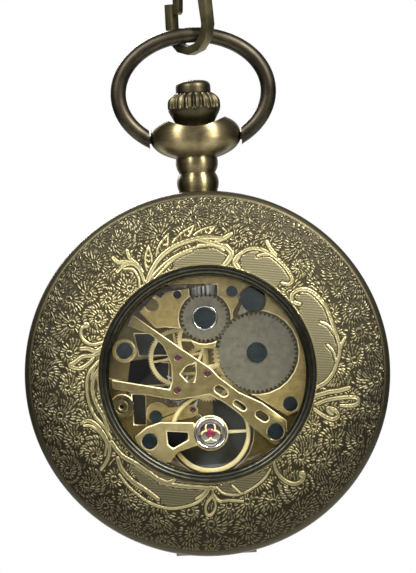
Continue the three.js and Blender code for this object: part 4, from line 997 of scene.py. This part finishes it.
def gear(teeth, pitch, turn, spot, low, high, bore, chamfer=0.0):
    """A toothed ring between two heights, open inside the bore; a tooth lies at turn."""
    module = 2 * pitch / teeth
    tip, root = pitch + 0.8 * module, pitch - 1.1 * module
    angle = ((np.arange(teeth)[:, None] + TOOTH) * TURN / teeth + turn).ravel()
    radius = np.tile([root, pitch, tip, tip, pitch, root], teeth)
    rows = [(bore, low), (radius, low), (radius, high - chamfer), (radius - chamfer, high), (bore, high)]
    grid = [np.column_stack([polar(r, angle, spot), np.full(len(angle), h)]) for r, h in rows]
    return np.vstack(grid), quads(len(rows), len(angle))


def spokes(count, turn, spot, low, high, inner, outer, half):
    """Straight arms from the hub to the rim, where they are slimmer."""
    made = []
    for arm in range(count):
        along = polar(1, turn + arm * TURN / count)
        across = np.array([-along[1], along[0]]) * half
        foot, tip = spot + inner * along, spot + outer * along
        made.append(slab([foot - across, tip - across * 0.7, tip + across * 0.7, foot + across], low, high))
    return made


def mesh_turn(teeth_a, turn_a, a, teeth_b, b):
    """Turn of wheel b so that its gap faces a tooth of wheel a."""
    along = math.atan2(b[1] - a[1], b[0] - a[0])
    return along + math.pi + math.pi / teeth_b + (along - turn_a) * teeth_a / teeth_b


def pitch_of(teeth, mate, a, b):
    """Pitch radius of a wheel at a whose mate is at b."""
    return math.dist(a, b) * teeth / (teeth + mate)


RATCHET, CROWN_WHEEL = middle("ratchet_wheel"), middle("crown_wheel")
CENTRE, THIRD, FOURTH = middle("centre_jewel"), middle("third_wheel"), middle("fourth_jewel")
ESCAPE = middle("escape_jewel")
RATCHET_TEETH, CROWN_TEETH, PINION_TEETH = 54, 32, 16
BARREL_TEETH, CENTRE_TEETH, THIRD_TEETH, FOURTH_TEETH = 60, 60, 64, 70
CENTRE_LEAVES, TRAIN_LEAVES, ESCAPE_LEAVES = 12, 8, 7

crown_turn = math.pi / 2
ratchet_turn = mesh_turn(CROWN_TEETH, crown_turn, CROWN_WHEEL, RATCHET_TEETH, RATCHET)
centre_turn = 0.0
third_turn = mesh_turn(CENTRE_TEETH, centre_turn, CENTRE, TRAIN_LEAVES, THIRD)
fourth_turn = mesh_turn(THIRD_TEETH, third_turn, THIRD, TRAIN_LEAVES, FOURTH)

for body, node, teeth, mate, spot, other, turn, bore in (
    ("crown_wheel", "crown_wheel", CROWN_TEETH, RATCHET_TEETH, CROWN_WHEEL, RATCHET, crown_turn, 1.66),
    ("ratchet", "ratchet_wheel", RATCHET_TEETH, CROWN_TEETH, RATCHET, CROWN_WHEEL, ratchet_turn, 1.06),
):
    disc = gear(teeth, pitch_of(teeth, mate, spot, other), turn, spot, *levels(node), bore, 0.05)
    piece(body + "_toothed", [disc], STEEL, body, [node])

# The barrel's arbor, turned round: radius and height above its foot.
ARBOR = [
    (0, 0), (0.88, 0), (0.88, 0.95), (1.39, 0.95), (1.39, 2.15), (1.19, 2.15), (1.19, 3.11),
    (0.99, 3.11), (0.99, 3.55), (0.55, 3.55), (0.55, 2.8), (0, 2.8),
]
arbor = around(ARBOR, 64, RATCHET, base=levels("barrel_arbor")[0])
piece("barrel_arbor_turned", [arbor], STEEL, "ratchet", ["barrel_arbor"])

WHEEL_THICK = 0.18


def train_wheel(body, spot, wheel, pinion, arms, arm_half, rim):
    """A gilt wheel with its arms, its pinion and its arbor. wheel is its teeth, their
    mate's number and place, its turn and its lowest z; pinion is its leaves, their
    mate's number and place, and its lowest and highest z."""
    node = body + "_wheel"
    teeth, mate, mate_spot, turn, low = wheel
    leaves, leaf_mate, leaf_spot, leaf_low, leaf_high = pinion
    pitch, high = pitch_of(teeth, mate, spot, mate_spot), low + WHEEL_THICK
    leaf_pitch = pitch_of(leaves, leaf_mate, spot, leaf_spot)
    foot, top = levels(node)
    hub = [(0, low), (0.75, low), (0.75, high), (0.7, high + 0.03), (0, high + 0.03)]
    arbor = [(0, foot), (0.14, foot), (0.14, foot + 1), (0.21, foot + 1), (0.21, top - 0.5),
             (0.14, top - 0.45), (0.14, top), (0, top)]
    parts = [
        gear(teeth, pitch, turn, spot, low, high, pitch - rim, 0.03),
        gear(leaves, leaf_pitch, turn, spot, leaf_low, leaf_high, 0.1),
        *spokes(arms, turn, spot, low, high, 0.3, pitch - rim + 0.1, arm_half),
        around(hub, 40, spot),
        around(arbor, 24, spot),
    ]
    piece(node + "_crossed", parts, GILT, body, [node])


train_wheel(
    "centre", CENTRE, (CENTRE_TEETH, TRAIN_LEAVES, THIRD, centre_turn, -0.98),
    (CENTRE_LEAVES, BARREL_TEETH, RATCHET, -0.8, -0.25), 4, 0.24, 0.62,
)
train_wheel(
    "third", THIRD, (THIRD_TEETH, TRAIN_LEAVES, FOURTH, third_turn, 0.65),
    (TRAIN_LEAVES, CENTRE_TEETH, CENTRE, -1.02, -0.6), 5, 0.22, 0.58,
)
train_wheel(
    "fourth", FOURTH, (FOURTH_TEETH, ESCAPE_LEAVES, ESCAPE, fourth_turn, -0.15),
    (TRAIN_LEAVES, THIRD_TEETH, THIRD, 0.55, 0.93), 4, 0.2, 0.6,
)

# The winding pinion lies along the stem, in its slot: broad leaves in near-white steel, a painted
# highlight, on a core in blued steel, a painted shade between the leaves.
PINION_BORE, PINION_ROOT, PINION_TIP, LEAF_HALF = 0.66, 1.2, 1.58, 0.14
pinion_low, pinion_high = span("winding_pinion")
pinion_foot, pinion_top = pinion_low[1], pinion_high[1]
pinion_z = (pinion_low[2] + pinion_high[2]) / 2
core = [(PINION_BORE, pinion_foot), (PINION_ROOT, pinion_foot), (PINION_ROOT, pinion_top),
        (PINION_BORE, pinion_top)]
leaves = []
for leaf in range(PINION_TEETH):
    out = polar(1, math.pi / 2 + leaf * TURN / PINION_TEETH)
    side = np.array([-out[1], out[0]]) * LEAF_HALF
    foot, tip = out * PINION_ROOT * 0.96, out * PINION_TIP
    outline = [foot - side, tip - side * 0.8, tip + side * 0.8, foot + side]
    points, faces = slab(outline, pinion_foot, pinion_top)
    leaves.append((points[:, [0, 2, 1]] + (0, 0, pinion_z), faces))
core = around(core, 64, (0, pinion_z), upright=True)
# The dark blued core is a painted shade in the gaps between the leaves.
piece("winding_pinion_core", [core], BLUED, "winding_pinion", ["winding_pinion"])
piece("winding_pinion_leaves", leaves, PINION_HIGHLIGHT_STEEL, "winding_pinion")

# The balance: a slim rim on two arms, with its staff.
BALANCE = middle("shock_setting")
staff_low, staff_high = levels("balance_wheel")
RIM = [(4.62, 0.4), (5.2, 0.4), (5.2, 0.86), (5.06, 1.0), (4.76, 1.0), (4.62, 0.86)]
STAFF = [
    (0, staff_low), (0.14, staff_low), (0.14, -1), (0.3, -1), (0.3, -0.3), (1.3, -0.3), (1.3, -0.12),
    (0.3, -0.12), (0.3, 1.5), (0.14, 1.5), (0.14, staff_high), (0, staff_high),
]
BALANCE_HUB = [(0, 0.45), (0.7, 0.45), (0.7, 0.8), (0, 0.8)]
balance = [around(RIM, 160, BALANCE), around(STAFF, 40, BALANCE), around(BALANCE_HUB, 40, BALANCE),
           *spokes(2, 0, BALANCE, 0.5, 0.75, 0.2, 4.9, 0.25)]
piece("balance_crossed", balance, GILT, "balance", ["balance_wheel"])

# -------------------------------------------------------- screws and jewels

SHANK_R, SLOT_HALF, SCREW_EDGE = 0.4, 0.13, 0.06
HEAD_GROWTH = 1 / math.cos(math.pi / 12) ** 0.5  # a round head about as large as the faceted one


def screw(node, turn, body="case", head_drop=0.45, slot_depth=0.14):
    """A blued screw with a chamfered, slotted head, in place of the CAD one."""
    (x0, y0, foot), (x1, y1, top) = span(node)
    spot = ((x0 + x1) / 2, (y0 + y1) / 2)
    radius = (x1 - x0) / 2 * HEAD_GROWTH
    seat, floor = top - head_drop, top - slot_depth
    shank = [(0, foot), (SHANK_R, foot), (SHANK_R, seat), (radius - 0.04, seat), (radius, seat + 0.04),
             (radius, floor), (0, floor)]
    parts = [around(shank, 48, spot)]
    lean = math.asin(SLOT_HALF / radius)
    for start in (turn, turn + math.pi):
        angle = np.linspace(start + lean, start + math.pi - lean, 26)
        crest_angle = np.linspace(start + lean + 0.01, start + math.pi - lean - 0.01, 26)
        rim, crest = polar(radius, angle, spot), polar(radius - SCREW_EDGE, crest_angle, spot)
        n = len(rim)
        points = np.vstack([
            np.column_stack([line, np.full(n, z)])
            for line, z in ((rim, floor), (rim, top - SCREW_EDGE), (crest, top))
        ])
        walls = [[k * n + i, k * n + (i + 1) % n, (k + 1) * n + (i + 1) % n, (k + 1) * n + i]
                 for k in (0, 1) for i in range(n)]
        parts.append((points, [list(range(n))[::-1], list(range(2 * n, 3 * n))] + walls))
    piece(node + "_slotted", parts, BLUED, body, [node])


screw("plate_screw", 0.6)
screw("train_bridge_screw", 1.1)
screw("barrel_bridge_screw", 2.0)
screw("cock_screw", 0.2)
screw("pallet_screw", 1.5, head_drop=0.3)
screw("crown_wheel_screw", 0.75, head_drop=0.28)
screw("ratchet_screw", 0.4, "ratchet", head_drop=0.3, slot_depth=0.05)
screw("click_screw", 1.9, head_drop=0.4, slot_depth=0.05)
screw("click_spring_screw", 0.9, head_drop=0.35)


def jewel(node, chaton):
    """A domed ruby with an oil sink; returns the gold ring that it is set in."""
    low, high = span(node)
    spot, r = middle(node), (high[0] - low[0]) / 2
    foot, top = low[2], high[2]
    stone = [(0, foot), (r, foot), (r, top - 0.05), (r - 0.06, top - 0.01), (0.24, top),
             (0.12, top - 0.08), (0, top - 0.09)]
    piece(node + "_domed", [around(stone, 40, spot)], DARK_RUBY, "case", [node])
    rim = [(0.01, -0.06), (0.01, -0.015), (0.06, 0.01), (chaton, 0.01), (chaton + 0.03, -0.06)]
    return around([(r + out, top + up) for out, up in rim], 48, spot)


chatons = [jewel(node, 0.16) for node in ("centre_jewel", "fourth_jewel", "escape_jewel")]
chatons.append(jewel("pallet_jewel", 0.08))
piece("jewel_chatons", chatons, COCK, "case")

# A bright seat around the crown wheel's screw, and the turned cap of the post.
SEAT = [(1.42, 0.05), (1.6, 0.05), (1.6, 0.15), (1.56, 0.18), (1.46, 0.18), (1.42, 0.15)]
seat = around(SEAT, 72, CROWN_WHEEL, base=levels("crown_wheel")[1])
piece("crown_wheel_seat", [seat], BRIGHT, "case")
POST, POST_TOP = (-11.26, -3.8), 0.4
CAP = [
    (0.36, -0.05), (1.5, -0.05), (1.5, 0), (1.44, 0.05), (0.95, 0.05), (0.85, 0.01), (0.78, 0.05),
    (0.44, 0.05), (0.36, 0),
]
piece("post_cap", [around(CAP, 72, POST, base=POST_TOP)], COCK, "case")

# The shock setting on the cock: a bright ring, a red stone, a gold lyre spring.
SETTING = [
    (0, 0), (1.65, 0), (1.65, 0.43), (2.08, 0.43), (2.1, 0.5), (2.04, 0.58), (1.93, 0.62),
    (1.82, 0.58), (1.74, 0.5), (1.66, 0.5), (1.6, 0.58), (1.5, 0.6), (1.4, 0.52), (1.3, 0.3),
    (1.12, 0.26), (0, 0.26),
]
STONE = [(0, -0.05), (0.62, -0.05), (0.62, 0.14), (0.5, 0.24), (0.3, 0.3), (0, 0.32)]
setting_z = levels("shock_setting")[0]
stone_z = setting_z + 0.26
setting, stone = around(SETTING, 96, BALANCE, base=setting_z), around(STONE, 40, BALANCE, base=stone_z)
piece("shock_setting_ring", [setting], BRIGHT, "case", ["shock_setting"])
piece("shock_jewel", [stone], RUBY, "case")


def lyre():
    """A three-lobed spring over the stone, its ends hooked into the ring."""
    lobes = []
    t = np.linspace(-1, 1, 26)
    for lobe in range(3):
        spots = polar(0.5 + 0.68 * np.abs(t) ** 0.7, 0.5 + lobe * TURN / 3 + 0.62 * t, BALANCE)
        lobes.append(tube(np.column_stack([spots, stone_z + 0.34 - 0.08 * np.abs(t)]), 0.09, 10, 0.6))
    return lobes


piece("lyre_spring", lyre(), GILT, "case")

# The hairspring, a fine flat coil from the collet to the stud.
COIL_TURNS, COIL_IN, COIL_OUT = 9, 0.72, 2.4
coil_z = sum(levels("hairspring")) / 2
sweep = np.linspace(0, TURN * COIL_TURNS, 70 * COIL_TURNS)
coil = polar(np.linspace(COIL_IN, COIL_OUT, len(sweep)), sweep, BALANCE)
coil = tube(np.column_stack([coil, np.full(len(sweep), coil_z)]), 0.035, 6, 3.0)
piece("hairspring_coil", [coil], BLUED, "balance", ["hairspring"])

# ----------------------------------------------------------- dial numerals

dial_face = levels("dial")[0]
INK_TOP, INK_FOOT = dial_face - 0.03, dial_face + 0.01
# Width of each letter, and its strokes as foot, top and thickness.
LETTERS = {
    "I": (0.55, [(0, -1, 0, 1, 0.3)]),
    "V": (1.3, [(-0.45, 1, 0.05, -1, 0.3), (0.45, 1, 0.0, -1, 0.12)]),
    "X": (1.3, [(-0.45, 1, 0.45, -1, 0.3), (0.45, 1, -0.45, -1, 0.12)]),
}
HOURS = ("XII", "I", "II", "III", "IIII", "V", "VI", "VII", "VIII", "IX", "X", "XI")
NUMERAL_R, NUMERAL_HALF = 9.9, 1.15
TRACK_IN, TRACK_OUT = 11.35, 11.9


def numeral(hour):
    """Upright strokes of one numeral, its foot towards the dial's middle."""
    turn = hour * math.pi / 6
    outward = np.array([-math.sin(turn), math.cos(turn)])
    rightward = np.array([-math.cos(turn), -math.sin(turn)])

    def mark(corners):
        outline = [u * rightward + (NUMERAL_R + v * NUMERAL_HALF) * outward for u, v in corners]
        return slab(outline, INK_TOP, INK_FOOT)

    half = sum(LETTERS[letter][0] for letter in HOURS[hour]) / 2
    cursor = -half
    made = []
    for letter in HOURS[hour]:
        width, lines = LETTERS[letter]
        cursor += width / 2
        for u0, v0, u1, v1, thick in lines:
            u0, u1, w = u0 + cursor, u1 + cursor, thick / 2
            made.append(mark([(u0 - w, v0), (u0 + w, v0), (u1 + w, v1), (u1 - w, v1)]))
        cursor += width / 2
    for v in (-1, 1):
        made.append(mark([(-half, v), (half, v), (half, v * 1.08), (-half, v * 1.08)]))
    return made


marks = [part for hour in range(12) for part in numeral(hour)]
for minute in range(60):
    turn = minute * math.pi / 30
    radial = np.array([math.sin(turn), math.cos(turn)])
    across = np.array([radial[1], -radial[0]]) * (0.16 if minute % 5 == 0 else 0.07)
    foot, tip = TRACK_IN * radial, TRACK_OUT * radial
    marks.append(slab([foot - across, tip - across, tip + across, foot + across], INK_TOP, INK_FOOT))
for radius in (11.3, TRACK_OUT, 16.4):
    line = [(radius, INK_FOOT), (radius, INK_TOP), (radius + 0.09, INK_TOP), (radius + 0.09, INK_FOOT)]
    marks.append(around(line, 160))
piece("dial_numerals", marks, INK, "case")

# ------------------------------------------------------------------ stage

case_centre = Vector((HUB.x, 0, HUB.z))


def area_light(name, away, size, power):
    """A light aimed at the case from a place away from its centre, in metres."""
    data = bpy.data.lights.new(name, "AREA")
    data.shape = "RECTANGLE"
    data.size, data.size_y = size
    data.energy = power
    lamp = bpy.data.objects.new(name, data)
    bpy.context.scene.collection.objects.link(lamp)
    lamp.location = case_centre + Vector(away)
    lamp.rotation_euler = (-Vector(away)).to_track_quat("-Z", "Y").to_euler()


area_light("key", (0.25, -0.3, 0.32), (0.08, 0.4), 3.6)
area_light("fill", (-0.25, -0.32, 0.3), (0.07, 0.4), 1.0)
area_light("top_left", (-0.11, -0.13, 0.17), (0.04, 0.06), 0.4)
area_light("top_right", (0.11, -0.13, 0.17), (0.04, 0.06), 0.4)
area_light("dial_side", (-0.12, 0.4, 0.25), (0.2, 0.2), 2.5)

# A pale surround, brightest from where the camera stands and softer on the dial
# side. The camera itself sees plain white.
world = bpy.data.worlds.new("studio")
bpy.context.scene.world = world
world.use_nodes = True
world.node_tree.nodes.clear()
sky = Tree(world.node_tree)
back_side = sky.math("MULTIPLY", sky.grade("Y", 0.3, -1.0, 0.1, 0.85, "Generated"),
                     sky.grade("Z", -0.3, 0.3, 0.0, 1.2, "Generated"))
power = sky.math("ADD", back_side, sky.grade("Y", 0.45, 1.0, 0.0, 0.6, "Generated"))
surround = sky.add("ShaderNodeBackground", {"Strength": power})
white = sky.add("ShaderNodeBackground", {"Color": (1, 1, 1, 1), "Strength": 1.0})
seen = sky.add("ShaderNodeLightPath").outputs["Is Camera Ray"]
both = sky.add("ShaderNodeMixShader", {0: seen, 1: surround.outputs[0], 2: white.outputs[0]})
sky.add("ShaderNodeOutputWorld", {"Surface": both.outputs[0]})

FLOOR_DROP, FLOOR_R, FLOOR_SIDES = 0.09, 0.25, 96
floor_mesh = bpy.data.meshes.new("floor")
floor_edge = polar(FLOOR_R, np.linspace(0, TURN, FLOOR_SIDES, endpoint=False))
floor_mesh.from_pydata(
    [(x, y, cad_box[0].z - FLOOR_DROP) for x, y in floor_edge.tolist()], [], [list(range(FLOOR_SIDES))],
)
floor_mesh.materials.append(PALE)
floor = bpy.data.objects.new("floor", floor_mesh)
bpy.context.scene.collection.objects.link(floor)

# The camera looks along +Y, square to the back, and leans 2.9 degrees.
LENS, SENSOR = 250, 36
RIM_Y = -2.75 * MM  # the plane the frame height is measured in
FRAME_HEIGHT = 73.6 * MM
AIM_X, AIM_Z = 0.63 * MM, 11.15 * MM
LEAN = math.radians(2.9)
camera_data = bpy.data.cameras.new("camera")
camera_data.lens = LENS
camera_data.sensor_width = SENSOR
camera_data.clip_start = 0.01
camera_data.clip_end = 10
camera = bpy.data.objects.new("camera", camera_data)
bpy.context.scene.collection.objects.link(camera)
distance = FRAME_HEIGHT * LENS / SENSOR
camera.location = (HUB.x + AIM_X, RIM_Y - distance, HUB.z + AIM_Z)
lean, level = Matrix.Rotation(LEAN, 3, "Y"), Matrix.Rotation(math.pi / 2, 3, "X")
camera.rotation_euler = (lean @ level).to_euler()
bpy.context.scene.camera = camera
bpy.context.scene.view_settings.view_transform = "Standard"
